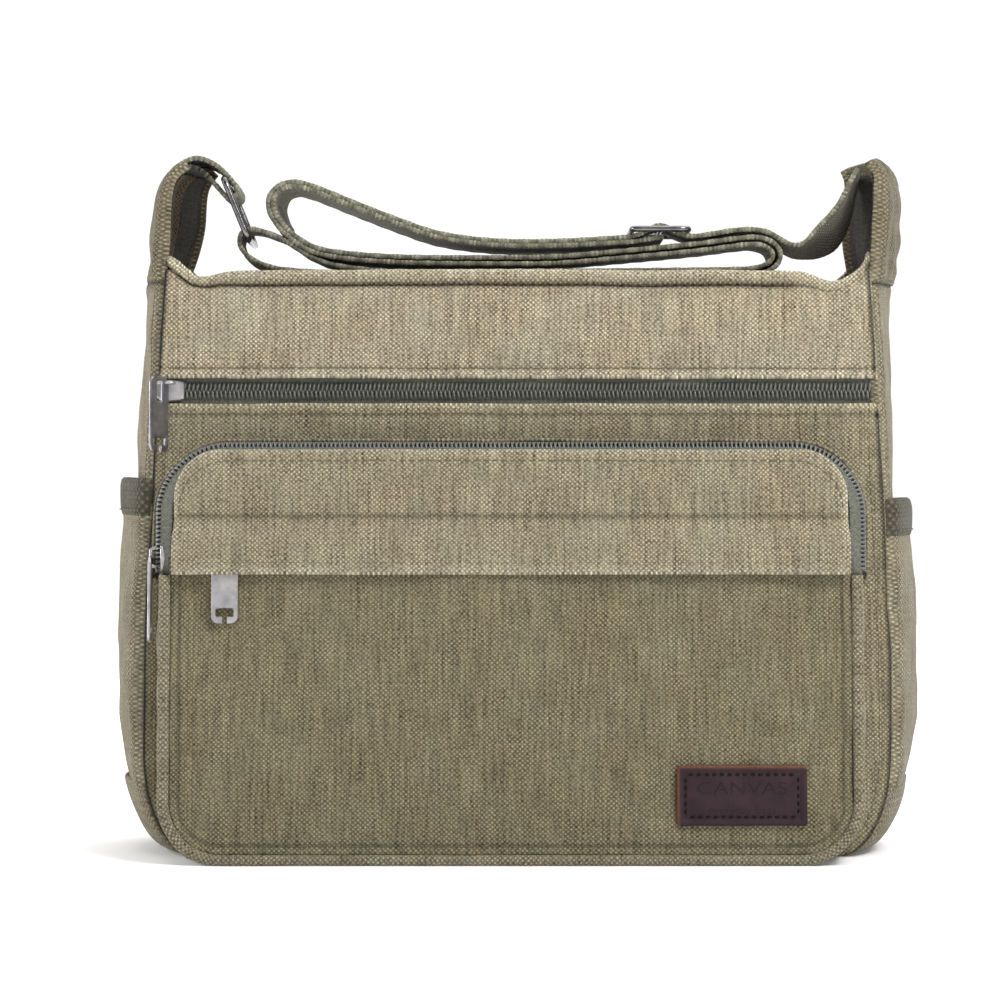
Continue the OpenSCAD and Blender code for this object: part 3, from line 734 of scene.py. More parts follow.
def gusset_surface(side):
    """A side strip that goes on up into the ear: t runs from front to back, v up along it."""
    rows = gusset_rows(side)
    s = run_length(rows[:, :2]) + rows[0, 1]
    d = unit(np.gradient(rows[:, :2], axis=0))

    def surface(t, v, out=0.0):
        x, z, bulge, half = (np.interp(v, s, rows[:, k]) for k in range(4))
        nx, nz = np.interp(v, s, d[:, 1]), np.interp(v, s, -d[:, 0])
        b = bulge * swell(t) + out - 3.0 * (hump(t, 0, 0.018) + hump(t, 1, 0.018))
        b = b + waves(31 + side, t * 80, v, 55, 0.9, 2.0) * swell(t) + waves(33 + side, t * 80, v, 18, 0.25)
        b = b + waves(35 + side, t * 80, v, 15, 1.1, 1.8) * smooth(v, 254, 262) * swell(t)
        b = b - 0.9 * hump(v, EAR_SEAM, 1.4) + pucker(t * 80, np.abs(v - EAR_SEAM), 9, 0.3, 5)
        tuck = EAR_TUCK[side] * smooth(v, 245, 285) * smooth(t, 0.45, 1.0)
        tuck = tuck - 2.4 * smooth(v, 250, 258) * (1 - smooth(t, 0.0, 0.2)) * (1 - smooth(v, 300, 312))
        return join(side * (x + nx * b - tuck), (half + SEAM_ALLOWANCE) * (2 * t - 1), z + nz * b)
    return surface, s[-1]


MOUTH_SHIFT = {-1: 4.0, 1: -5.0}
MOUTH_Z = 150
BAND_MIDDLE = 152.75
BAND_HALF = 7.75


def stand(v, side):
    """How far a side pocket stands off its gusset."""
    drawn = (3.2 if side < 0 else 2.0) * smooth(v, 105, 150)
    return (5 * np.clip((v - 30) / 30, 0, 1)) + PANEL_W - seam_x(np.maximum(v, CORNER_H)) - drawn


def gussets():
    threads = Pile()
    for side, word in ((-1, "left"), (1, "right")):
        surface, end = gusset_surface(side)
        t, v = grid(np.linspace(0, 1, 49), np.linspace(GUSSET_FOOT, end, 150))
        wear_and_shade = edge_wear(t * 80, (1 - t) * 80, end - v, reach=2.0, amount=0.2)
        # Painted shade in the ear's seam and over the ear above it, which turns away from the light.
        wear_and_shade = wear_and_shade - 0.8 * seam_shade(v - EAR_SEAM, 1.0) - 0.35 * smooth(v, 246, 262)
        slab("gusset_canvas_" + word, surface(t, v), CANVAS, CLOTH_SIDE,
             join(t * 90 + side * 300, v), wear_and_shade=wear_and_shade, flip=side < 0,
             replaces=["gusset_" + word, "ear_" + word])
        t, v = grid(np.linspace(0.12, 0.985, 33), np.linspace(EAR_SEAM, end - 5, 36))
        slab("ear_lining_" + word, surface(t, v, -CANVAS - 0.5), 1.0, EAR_LINING, join(t * 60, v),
             flip=side < 0, replaces=["ear_facing_" + word], slot="lining")
        t, v = grid(np.linspace(0.012, 0.76, 34), np.linspace(EAR_SEAM, end - 5, 36))
        inner = surface(t, v, -CANVAS - 0.3) - side * np.array([0.6, 0, 0])
        # The ear's hem is painted darker next to the front seam, as painted shade.
        slab("ear_hem_" + word, inner, 1.3, CLOTH_DARK, join(t * 60, v), flip=side < 0,
             slot="canvas_side", wear_and_shade=-0.95 * (1 - smooth(t, 0.02, 0.10)))
        side_pocket(side, word, surface, threads)
        for edge in (0.05, 0.95):
            stitches(threads, surface, np.stack([np.full(60, edge), np.linspace(160, end - 4, 60)], 1))
        t = np.linspace(0.06, 0.94, 40)
        stitches(threads, surface, np.stack([t, 0 * t + EAR_SEAM + 3.5], 1))
    threads.piece("side_stitching", THREAD, slot="canvas_side")


def side_pocket(side, word, surface, threads):
    up = MOUTH_SHIFT[side]

    def cloth(a, b, lift=0.0):
        off = (stand(b, side) + waves(51 + side, a * 80, b, 40, 0.7)) * swell(a) + 0.3 + 1.5 + lift
        return surface(a, b, off)
    t, v = grid(np.linspace(0, 1, 41), np.linspace(31.5, MOUTH_Z + up, 60))
    slab("side_pocket_canvas_" + word, cloth(t, v), 1.5, CLOTH_SIDE, join(t * 90, v + 500),
         flip=side < 0, wear_and_shade=edge_wear(t * 80, (1 - t) * 80, reach=2.0, amount=0.5),
         replaces=["side_pocket_" + word])
    t, v = grid(np.linspace(0, 1, 41), np.linspace(145 + up, 160.5 + up, 14))
    round_in = 0.9 * (np.abs(v - BAND_MIDDLE - up) / BAND_HALF) ** 4
    bound = cloth(t, v, 1.3) - join(side * round_in, 0 * v, 0 * v)
    slab("side_pocket_binding_" + word, bound, 3.0, BINDING, join(v, t * 90), flip=side < 0,
         replaces=["side_binding_" + word], slot="webbing")
    t = np.linspace(0.03, 0.97, 40)
    stitches(threads, lambda a, b: cloth(a, b, 1.5), np.stack([t, 0 * t + 147.2 + up], 1))


def base():
    """The bottom, which turns up at both ends to meet the gussets."""
    a = np.radians(np.linspace(17, 90, 32))
    x = PANEL_W - CORNER_W * (1 - np.cos(a))
    z = CORNER_H * (1 - np.sin(a))
    nx, nz = CORNER_H * np.cos(a), -CORNER_W * np.sin(a)
    size = np.hypot(nx, nz)
    bulge = 12 * np.clip((math.pi / 2 - a) / math.radians(20), 0, 1)
    right = np.stack([x, z, nx / size, nz / size, bulge], 1)
    left = right * (-1, 1, -1, 1, -1)
    flat = np.linspace(-x[-1], x[-1], 90)[1:-1]
    middle = np.stack([flat, 0 * flat, 0 * flat, 0 * flat - 1, 0 * flat], 1)
    rows = np.concatenate([left, middle, right[::-1]])[:, None]
    t = np.linspace(0, 1, 33)[None, :]
    along = run_length(rows[:, 0, :2])[:, None]
    out = waves(61, along, t * 90, 50, 0.8) * swell(t) * smooth(rows[..., 1], 4, 16)
    p = np.stack([rows[..., 0] + rows[..., 4] * swell(t) + rows[..., 2] * out,
                  (half_depth(rows[..., 1]) - CANVAS - 0.2) * (2 * t - 1),
                  rows[..., 1] + rows[..., 3] * out], -1)
    slab("base_canvas", p, CANVAS, CLOTH_SIDE, join(along + 0 * t, t * 95 + 0 * along), flip=True,
         replaces=["base_panel"])


def top_strips():
    half = half_depth(TOP_ZIP_Z) - CANVAS
    for side, word in ((-1, "front"), (1, "back")):
        x, y = grid(np.linspace(-155, 155, 160), side * np.linspace(5, half, 14))
        sag = -1.2 * smooth(np.abs(y), 5, half) * (1 - (x / 155) ** 2) + waves(81 + side, x, y, 40, 0.5)
        edge = 0.6 * hump(np.abs(y), 6, 1.5)
        slab("top_canvas_" + word, join(x, y, TOP_ZIP_Z + sag + edge), CANVAS, CLOTH_SIDE,
             join(x, y + 200), flip=side < 0, replaces=["top_strip_" + word])


# ---- Front pocket ------------------------------------------------------------------------------
def pocket_outline():
    """The pocket's outline from its lower left corner, clockwise: x, z and the outward normal."""
    points = []
    for cx, cz, r, a0, a1 in ((-1, 1, POCKET_TOP_R, 180, 90), (1, 1, POCKET_TOP_R, 90, 0),
                              (1, -1, POCKET_BOTTOM_R, 0, -90), (-1, -1, POCKET_BOTTOM_R, -90, -180)):
        centre = (cx * (POCKET_W - r), POCKET_TOP - r if cz > 0 else POCKET_FLOOR + r)
        for a in np.radians(np.linspace(a0, a1, 25)):
            c, s = math.cos(a), math.sin(a)
            points.append([centre[0] + r * c, centre[1] + r * s, c, s])
    points = np.array(points + points[:1])
    return resample(points, 1.0)


OUTLINE = pocket_outline()
OUTLINE_S = run_length(OUTLINE[:, :2])


def outline_at(s, grow=0.0):
    """The point at distance s along the pocket's outline, moved outwards by grow."""
    s = np.mod(s, OUTLINE_S[-1])
    x, z, nx, nz = (np.interp(s, OUTLINE_S, OUTLINE[:, k]) for k in range(4))
    return x + nx * grow, z + nz * grow


# The outline starts where the left side meets the top corner; these are the zip's two ends on it
ARC_LEFT_FOOT = -(POCKET_TOP - POCKET_TOP_R - ZIP_FOOT)
OVER_TOP = POCKET_TOP_R * math.pi + 2 * (POCKET_W - POCKET_TOP_R)
ARC_RIGHT_FOOT = OVER_TOP - ARC_LEFT_FOOT
AROUND = OUTLINE_S[-1]


def zip_dip(z):
    """The zip and the wall behind it sit a little lower over the pocket's top."""
    return 1.7 * smooth(z, 150, 176)


def pocket_point(x, z, out):
    return on_pocket(join(x, -out, z))


def reach_in(x, z, half_w, top, floor, top_r, floor_r):
    """Distance inside a rounded outline."""
    ax = np.abs(x)
    r = np.where(z > (top + floor) / 2, top_r, floor_r)
    ex = ax - (half_w - r)
    ez = np.maximum(z - (top - r), (floor + r) - z)
    corner = r - np.hypot(np.maximum(ex, 0), np.maximum(ez, 0))
    return np.where((ex > 0) & (ez > 0), corner, np.minimum(r - ex, r - ez))


FACE_TOP = 131.5
FACE_W = POCKET_W - 1.8
FACE_R = 24
YOKE_W = POCKET_W - 4.2
YOKE_TOP = POCKET_TOP - 1.2
YOKE_R = 21
FLAP_EDGE = 124.7
FLAP_SEAM = 149


def in_face(x, z):
    return reach_in(x, z, FACE_W, 400, POCKET_FLOOR + 1.8, FACE_R, FACE_R)


def in_yoke(x, z):
    return reach_in(x, z, YOKE_W, YOKE_TOP, -200, YOKE_R, 5)


def face_out(x, z):
    """How far the pocket's face stands out of its plane."""
    d = in_face(x, z)
    out = 2.6 * smooth(d, 2, 55) + waves(91, x, z, 62, 0.9) + waves(92, x, z, 22, 0.3) - edge_roll(d, 2.4)
    out = out - 0.4 * hump(d, 5.2, 1.0) + pucker(z + x, np.abs(d - 5), 8, 0.28, 4.5, 7)
    corner = np.hypot(np.abs(x) - 138, z - 18)
    return out + 0.9 * np.sin(corner / 5.5) * np.exp(-corner / 18)


def face_surface(x, z):
    return pocket_point(x, z, face_out(x, z))


def yoke_surface(x, z):
    d = in_yoke(x, z)
    flap = smooth(FLAP_SEAM - z, 0, 12)
    out = 1.0 * smooth(d, 1, 14) + waves(95, x, z, 55, 0.7) + waves(96, x, z, 20, 0.22)
    out = out - edge_roll(d, 2.2) * (1 - 0.6 * flap) - 0.5 * hump(z, FLAP_SEAM, 1.1) * smooth(d, 2, 5)
    out = out + pucker(x, np.abs(z - FLAP_SEAM), 8.5, 0.25, 4, 9) + pucker(x, np.abs(d - 4), 9, 0.18, 4, 8)
    out = out + flap * (5.6 + waves(97, x, z, 48, 0.5)) - 0.35 * hump(z, FLAP_EDGE + 4.2, 1.0)
    return pocket_point(x, z, out)


def yoke_grid():
    """A grid inside the yoke's rounded top: columns bend in with the corners."""
    s, t = grid(np.linspace(-1, 1, 231), np.linspace(0, 1, 44))
    z = FLAP_EDGE + (YOKE_TOP - 0.3 - FLAP_EDGE) * np.sin(t * math.pi / 2) ** 0.9
    up = np.clip(z - (YOKE_TOP - YOKE_R), 0, YOKE_R)
    return s * (YOKE_W - YOKE_R + np.sqrt(np.maximum(YOKE_R * YOKE_R - up * up, 0))), z


def face_grid():
    s, t = grid(np.linspace(-1, 1, 221), np.linspace(0, 1, 90))
    low = POCKET_FLOOR + 1.9
    z = low + (FACE_TOP - low) * (1 - np.cos(t * math.pi / 2)) ** 0.75
    down = np.clip(low + FACE_R - z, 0, FACE_R)
    return s * (FACE_W - FACE_R + np.sqrt(np.maximum(FACE_R * FACE_R - down * down, 0))), z


def pocket_wall_surface(s, w, over_zip):
    """Side of the pocket behind the zip or the piping: w runs from front (0) to the panel (1)."""
    grow = 0.2 + 2.8 * w + 3.2 * (w > 0.4) * over_zip
    front = 1.6
    z = outline_at(s, grow)[1]
    back = POCKET_FRONT - BASE_HALF - z * (math.tan(POCKET_LEAN) - math.tan(LEAN)) - 0.8
    depth = front + (back - front) * w
    wave = waves(101, s, w * 30, 34, 0.2 if over_zip else 0.8) * np.sin(np.pi * w)
    x, z = outline_at(s, grow + wave)
    z = z - zip_dip(z) * over_zip
    return on_pocket(join(x, depth, np.maximum(z, 0.9))), depth


def strip_round(name, s0, s1, w0, over_zip, **kind):
    s, w = grid(np.linspace(s0, s1, int((s1 - s0) / 2.2)), np.linspace(w0, 1, 17))
    p, depth = pocket_wall_surface(s, w, over_zip)
    return slab(name, p, 1.6, CLOTH_SIDE, join(s, depth), flip=True, **kind)


def pocket():
    x, z = face_grid()
    inside = in_face(x, z)
    # Lighter wear at the very edge; the negative terms are painted shade in the edge seam and along the
    # topstitching.
    worn = 0.4 * smooth(inside, 1, 2) * edge_wear(inside, reach=2.0) - 0.5 * seam_shade(inside - 5.2, 0.7)
    worn = worn - seam_shade(inside - 0.4, 0.9)
    slab("pocket_face_canvas", face_surface(x, z), CANVAS, CLOTH_FACE, join(x + 33, z), wear_and_shade=worn,
         replaces=["pocket_face"])
    x, z = yoke_grid()
    worn = edge_wear(in_yoke(x, z), z - FLAP_EDGE, reach=2.0)
    # Painted shade along the flap's seam.
    worn = worn - 0.7 * seam_shade(z - FLAP_SEAM, 0.8)
    slab("pocket_yoke_canvas", yoke_surface(x, z), 1.7, CLOTH_YOKE, join(x - 21, z + 260),
         wear_and_shade=worn, replaces=["pocket_yoke", "placket_flap"])
    strip_round("pocket_side_wall", ARC_RIGHT_FOOT, AROUND + ARC_LEFT_FOOT, 0.0, False,
                replaces=["pocket_side_canvas"])
    strip_round("pocket_top_wall", ARC_LEFT_FOOT, ARC_RIGHT_FOOT, 0.42, True,
                replaces=["pocket_top_canvas"])
    piping()
    pile = Pile()
    x = np.linspace(-143, 143, 200)
    stitches(pile, yoke_surface, np.stack([x, 0 * x + FLAP_SEAM], 1), seed=5)
    stitches(pile, yoke_surface, np.stack([x, 0 * x + FLAP_EDGE + 4.2], 1), seed=6)
    s = np.linspace(ARC_LEFT_FOOT + 26, ARC_RIGHT_FOOT - 26, 260)
    stitches(pile, yoke_surface, np.stack(outline_at(s, -6.5), 1), seed=7)
    s = np.linspace(ARC_RIGHT_FOOT + 3, AROUND + ARC_LEFT_FOOT - 3, 420)
    stitches(pile, face_surface, np.stack(outline_at(s, -6.8), 1), seed=8)
    pile.piece("pocket_stitching", THREAD)


def piping():
    """A bound edge round the pocket below its zip, oval in section with a flat lip."""
    s = np.linspace(ARC_RIGHT_FOOT + 0.5, AROUND + ARC_LEFT_FOOT - 0.5, 300)
    x, z = outline_at(s, -0.6)
    path = on_pocket(join(x, 0 * s - 0.1 + waves(103, s, 0 * s, 30, 0.2), z))
    verts, faces = tube(path, 2.5, 14, up=(0, -1, 0.09), flat=0.62)
    verts[:, 2] = np.maximum(verts[:, 2], 0.2)
    around = np.tile(np.arange(14) / 14 * 13, len(s))
    piece("pocket_edge_binding", verts, faces, CLOTH_SIDE, uv=np.stack([np.repeat(s, 14), around], 1),
          wear_and_shade=np.full(len(verts), 0.25), replaces=["pocket_piping"])


# ---- Zips --------------------------------------------------------------------------------------
PITCH = 1.9
TAPE_IN = 2.2


def zip_front(s, a, d):
    return on_front(join(s, d, a), FRONT_ZIP_Z)


def zip_back(s, a, d):
    return on_back(join(s, d, a), BACK_SLOT_HIGH - 5)


def zip_top(s, a, d):
    return on_top(join(s, d, a))


def zip_placket(s, a, d):
    return on_pocket(join(s, d, a + PLACKET_Z))


def zip_pocket(s, a, d):
    """The zip in the pocket's side, tilted so that it shows from the front."""
    x, z = outline_at(s, 4.6 - d + 0.15 * a * (a < 0) + 0.12 * a * (a > 0) - np.maximum(-a - 3.4, 0))
    return on_pocket(join(x, 10 + a, z - zip_dip(z)))


def zip_half(name, run, s0, s1, side, width, node, chain=None):
    """One tape of a zip and its row of coils."""
    s, a = grid(np.linspace(s0, s1, int((s1 - s0) / 2.5)), side * np.linspace(0.9, width, 9))
    slab(name + "_tape", run(s, a, TAPE_IN + 0 * s), 0.8, TAPE, join(s, a), flip=side < 0,
         replaces=[node], slot="zip_tape")
    c0, c1 = chain or (s0, s1)
    sides = 6
    turn = np.linspace(0, np.pi, 7)
    ring = np.arange(sides) / sides * 2 * np.pi
    centre_a = 1.5 + 1.95 * np.cos(turn)
    centre_d = TAPE_IN - 0.15 - 1.55 * np.sin(turn)
    lean = 0.32 * np.cos(turn)
    r = 0.52
    off_s = r * np.cos(ring)[None, :] + lean[:, None]
    off_r = r * np.sin(ring)[None, :]
    ta = (centre_a[:, None] + off_r * np.cos(turn)[:, None]).ravel() * side
    td = (centre_d[:, None] - off_r * np.sin(turn)[:, None]).ravel()
    starts = np.arange(c0 + PITCH, c1 - PITCH, PITCH) + (PITCH / 2 if side > 0 else 0)
    local = starts[:, None] + off_s.ravel()[None, :]
    verts = run(local, ta[None, :] + 0 * local, td[None, :] + 0 * local).reshape(-1, 3)
    one = np.array(hoops(len(turn), sides))
    faces = (one[None] + (np.arange(len(starts)) * len(turn) * sides)[:, None, None]).reshape(-1, 4)
    if side < 0:
        faces = faces[:, ::-1]
    piece(name + "_coil", verts, faces, COIL, slot="zip_tape")


def zips():
    for side, word in ((1, "upper"), (-1, "lower")):
        zip_half("front_zip_" + word, zip_front, -157, 157, side, 12, "front_zip_stringer_" + word)
        zip_half("back_zip_" + word, zip_back, -BACK_ZIP_HALF - 5, BACK_ZIP_HALF + 5, side, 12,
                 "back_zip_stringer_" + word, (-BACK_ZIP_HALF, BACK_ZIP_HALF))
        zip_half("placket_zip_" + word, zip_placket, -141, 141, side, 12, "placket_zip_stringer_" + word)
    for side, word in ((1, "back"), (-1, "front")):
        zip_half("top_zip_" + word, zip_top, -152, 152, side, 12, "top_zip_stringer_" + word)
        zip_half("pocket_zip_" + word, zip_pocket, ARC_LEFT_FOOT, ARC_RIGHT_FOOT, side, 7.6,
                 "pocket_zip_stringer_" + word)


def plate(outline, holes, thick, bevel):
    """A flat plate in XZ with holes, centred on Y = 0, its edges bevelled. Verts and faces."""
    pile = Pile()

    def ring_normals(p):
        d = unit(np.roll(p, -1, 0) - np.roll(p, 1, 0))
        return np.stack([d[:, 1], -d[:, 0]], 1)
    caps = []
    for k, loop in enumerate([outline] + list(holes)):
        p = np.array(loop, float)
        area = 0.5 * np.sum(p[:, 0] * np.roll(p[:, 1], -1) - np.roll(p[:, 0], -1) * p[:, 1])
        if (area < 0) != (k > 0):
            p = p[::-1]
        n = ring_normals(p)
        small = p - n * bevel
        caps.append(small)
        levels = [(small, -thick / 2), (p, -thick / 2 + bevel), (p, thick / 2 - bevel), (small, thick / 2)]
        verts = np.concatenate([np.stack([q[:, 0], np.full(len(q), y), q[:, 1]], 1) for q, y in levels])
        m = len(p)
        faces = [[lv * m + i, lv * m + (i + 1) % m, (lv + 1) * m + (i + 1) % m, (lv + 1) * m + i]
                 for lv in range(3) for i in range(m)]
        pile.add(verts, faces)
    flat = np.concatenate(caps)
    edges, start = [], 0
    for c in caps:
        edges += [(start + i, start + (i + 1) % len(c)) for i in range(len(c))]
        start += len(c)
    out, _, tris = delaunay_2d_cdt([Vector(v) for v in flat], edges, [], 0, 1e-6)[:3]
    out = np.array([tuple(v) for v in out])
    a, b = (flat[[e[k] for e in edges]] for k in (0, 1))

    def inside(x, z):
        crossed = (a[:, 1] > z) != (b[:, 1] > z)
        at = a[:, 0] + (z - a[:, 1]) / np.where(crossed, b[:, 1] - a[:, 1], 1) * (b[:, 0] - a[:, 0])
        return np.sum(crossed & (at > x)) % 2 == 1
    tris = [f for f in tris if inside(*out[list(f)].mean(0))]
    for y, order in ((-thick / 2, 1), (thick / 2, -1)):
        pile.add(np.stack([out[:, 0], np.full(len(out), y), out[:, 1]], 1), [list(t)[::order] for t in tris])
    return np.concatenate(pile.verts), pile.faces


def arc(cx, cz, r, a0, a1, n=7):
    a = np.radians(np.linspace(a0, a1, n))
    return [[cx + r * math.cos(t), cz + r * math.sin(t)] for t in a]


def tag_shape(width, length, head):
    """A puller's outline with a slot and slit at its foot, and the long slot at its head."""
    w, foot = width / 2, -length
    slot_w, slot_h, lip, r = 0.32 * width, 3.4, 3.1, 0.7
    slit = 0.085 * width
    outline = arc(-w + 3.4, head - 3.4, 3.4, 180, 90) + arc(w - 3.4, head - 3.4, 3.4, 90, 0)
    outline += arc(w - 3.2, foot + 3.2, 3.2, 0, -90)
    outline += [[slit, foot], [slit, foot + lip]]
    slot_low, slot_high = foot + lip + r, foot + lip + slot_h - r
    outline += arc(slot_w - r, slot_low, r, -90, 0, 4) + arc(slot_w - r, slot_high, r, 0, 90, 4)
    outline += arc(r - slot_w, slot_high, r, 90, 180, 4) + arc(r - slot_w, slot_low, r, 180, 270, 4)
    outline += [[-slit, foot + lip], [-slit, foot]]
    outline += arc(-w + 3.2, foot + 3.2, 3.2, -90, -180)
    hole = arc(0, head - 3.3, 1.7, 0, 180, 9) + arc(0, head - 9.6, 1.7, 180, 360, 9)
    return outline, hole


def rotation_z(deg):
    c, s = math.cos(math.radians(deg)), math.sin(math.radians(deg))
    return np.array([[c, -s, 0], [s, c, 0], [0, 0, 1]])


def rotation_y(deg):
    c, s = math.cos(math.radians(deg)), math.sin(math.radians(deg))
    return np.array([[c, 0, s], [0, 1, 0], [-s, 0, c]])


BAR_OUT = 3.2


def slider(name, put, material, shift=0.0, lift=0.0, rise=BAR_OUT):
    """Two plates on a web, side flanges that hug the coils, and a bail for the puller."""
    pile = Pile()
    shield = [[-6.3, -2.6], [-5.2, -3.4], [-1.5, -4.7], [2.5, -4.5], [5.6, -4.0], [6.4, -3.4], [6.4, 3.4],
              [5.6, 4.0], [2.5, 4.5], [-1.5, 4.7], [-5.2, 3.4], [-6.3, 2.6], [-6.6, 0]]
    shield = spline(np.array(shield + shield[:1]), 3)[:-1]
    for y, t in ((-0.05, 1.3), (4.95, 1.1)):
        v, f = plate(shield, [], t, 0.4)
        v[:, 1] += y - 0.35 * (1 - (v[:, 2] / 4.7) ** 2) * (y < 1)
        pile.add(v, f)
    for sign in (-1, 1):
        path = [[-4.6, 0.7, sign * 3.5], [-1.2, 0.9, sign * 4.3], [2.2, 0.9, sign * 4.2],
                [5.6, 0.8, sign * 3.7]]
        pile.add(*tube(spline(path, 4), 0.62, 8, up=(0, 1, 0), flat=1.7))
    pile.add(*tube([[1.5, 0.3, 0], [1.5, 2.4, 0], [1.5, 4.7, 0]], 0.9, 10, up=(1, 0, 0), flat=0.4))
    reach = 3.9
    leg = [(reach, -0.1), (reach + 0.25, -0.53 * rise), (reach - 0.7, 0.15 - rise), (reach - 2, -rise)]
    path = [[-x, y, 0] for x, y in leg] + [[x, y, 0] for x, y in leg[::-1]]
    v, f = tube(spline(path, 4), 0.78, 12)
    pile.add(v + (shift, 0, lift), f)
    verts = put(np.concatenate(pile.verts))
    return piece(name + "_slider_metal", verts, pile.faces, material, body=name + "_slider",
                 replaces=[name + "_slider"], slot="silver_metal" if material is SILVER else "gunmetal")


def puller(name, put, material, length, shift=0.0, lift=0.0, turn=0.0, twist=0.0, nudge=(0, 0, 0)):
    """A flat tag that hangs on the slider's bail."""
    outline, hole = tag_shape(11.9, length, 2.4)
    v, f = plate(outline, [hole], 1.3, 0.32)
    v = v @ rotation_z(twist).T + nudge
    v = v @ rotation_y(turn).T + (shift, -BAR_OUT, lift)
    return piece(name + "_puller_metal", put(v), f, material, body=name + "_puller",
                 replaces=[name + "_puller"], slot="silver_metal" if material is SILVER else "gunmetal")


def hardware():
    """Each zip's slider and puller, put where the frame has them or a few millimetres beside."""
    def front(v):
        return on_front(v + (-153, 0, 0), FRONT_ZIP_Z)

    def back(v):
        return on_back(v + (-112, 0, 0), BACK_SLOT_HIGH - 5)

    def top(v):
        return on_top(v + (-131, 0, 0))

    def placket(v):
        return on_pocket(v + (-124.8, 0, PLACKET_Z))

    def side(v):
        x, y, z = v[:, 0], v[:, 1], v[:, 2]
        return on_pocket(np.stack([-POCKET_W - 1.2 + y, 10 + z, 132.5 - x], 1))
    slider("front_zip", front, SILVER, -2.2, 3.2)
    puller("front_zip", front, GUNMETAL, 31, -4.2, 3.2, twist=54, nudge=(0, -3.2, 0))
    slider("back_zip", back, GUNMETAL)
    puller("back_zip", back, GUNMETAL, 27, nudge=(0, -1.3, 0))
    slider("top_zip", top, GUNMETAL)
    puller("top_zip", top, GUNMETAL, 27, turn=90)
    slider("placket_zip", placket, SILVER)
    puller("placket_zip", placket, SILVER, 34)
    slider("pocket_zip", side, SILVER, rise=5.4)
    puller("pocket_zip", side, SILVER, 34.5, shift=2, turn=-90, nudge=(0, -2.2, 0))


# ---- Strap, loop, ring and buckle --------------------------------------------------------------
FOLD = [[44, 271.9], [20, 270.6], [-8, 270.6], [-34, 273.8], [-53, 280], [-75, 288.5], [-90, 294.5],
        [-100, 297], [-107.6, 294], [-110.2, 287.5], [-106, 279], [-96, 270.5], [-84, 266], [-52, 263.2],
        [0, 262.8], [20, 263.2], [46, 265.4], [80, 268.6], [100, 271.2], [109, 271.5], [115.5, 268],
        [116, 262.6], [109, 258.4], [98, 257.4], [60, 257], [0, 256.8], [-40, 256.8], [-60, 257.1],
        [-75, 258.2], [-84, 259.4], [-90.5, 260.7], [-97, 262.4], [-105, 265.4], [-111, 267.6]]
SINGLE = [[51.5, 273.5], [57.5, 276], [64, 279.3], [70.5, 276], [76.5, 273.6], [84, 274.3],
          [100.5, 276.7], [112, 275.6], [121.5, 269.4], [128, 268.2], [134.5, 270.8], [141.6, 275.5],
          [147.5, 285], [151, 295], [154, 303]]
TUCK = [[65.5, 273.3], [58, 272.2], [51.5, 271]]
RING_PIVOT = np.array([-130.5, 299])
RING_FOOT = np.array([-119.5, 272])
RING_TURN = [[-117.7, 262.6], [-121.8, 265.6], [-124.2, 269.6], [-124.4, 273.4], [-122.6, 276.4],
             [-119.2, 277.6], [-115.6, 276.9]]
PLY = 1.25
LOOP_PATH = [[-156, 299.5], [-151.6, 304.6], [-143.2, 308.4], [-134.8, 305.6], [-128.2, 299.6], [-124.8, 294],
             [-126.6, 291], [-130, 291.8], [-133.4, 295.2], [-137.4, 299.9], [-142.2, 303.6], [-147.5, 304.6]]


def shifted(p, d):
    t = unit(np.gradient(p, axis=0))
    return p + d * np.stack([-t[:, 1], t[:, 0]], 1)


def ribbon(name, path, width, thick, material, roll=None, drift=0.0, slew=None, shade=None, **kind):
    """Webbing swept along a path in X and Z: thick rounded selvedges and a ribbed, slightly bowed face."""
    n = len(path)
    p = np.stack([path[:, 0], 0 * path[:, 0], path[:, 1]], 1)
    t = unit(np.gradient(p, axis=0))
    across = np.tile([0.0, 1.0, 0.0], (n, 1))
    top = np.cross(t, across)
    s = run_length(p)
    if roll is not None:
        a = np.radians(roll(path, s))[:, None]
        across, top = across * np.cos(a) + top * np.sin(a), top * np.cos(a) - across * np.sin(a)
    u = np.concatenate([np.linspace(-1, -0.9, 6), np.linspace(-0.86, 0.86, 25), np.linspace(0.9, 1, 6)])
    edge = np.sqrt(np.clip(1 - (np.clip(np.abs(u) - 0.955, 0, 1) / 0.045) ** 2, 0.0, 1))
    half = thick / 2 * (0.86 + 0.2 * hump(np.abs(u), 0.94, 0.035)) * edge
    section = np.concatenate([np.stack([u, half], 1), np.stack([u, -half], 1)[::-1][1:-1]])
    m = len(section)
    braid = 1 + 0.10 * np.sin(2 * np.pi * s / 2.6)[:, None] * (np.abs(section[:, 0]) > 0.9)
    sway = drift * np.sin(2 * np.pi * s / 310 + 0.7)[:, None]
    verts = (p[:, None] + across[:, None] * (section[:, 0] * width / 2 + sway)[..., None]
             + top[:, None] * (section[:, 1] * braid)[..., None]).reshape(-1, 3)
    if slew is not None:
        verts = slew(verts)
    faces = hoops(n, m) + end_caps(n, m)
    uv = np.stack([np.tile(section[:, 0] * width / 2, n), np.repeat(s, m)], 1)
    braids = 0.5 + 0.5 * np.sin(2 * np.pi * s / 2.6)[:, None]
    off_middle = np.abs(section[:, 0])
    wear_and_shade = ((off_middle > 0.93) * (0.9 * braids - 0.25) - 0.5 * hump(off_middle, 0.88, 0.025)).ravel()
    # shade darkens stretches of the webbing as painted shade.
    if shade is not None:
        wear_and_shade = wear_and_shade - np.repeat(shade(s), m)
    return piece(name, verts, faces, material, uv=uv, wear_and_shade=wear_and_shade, slot="webbing", **kind)


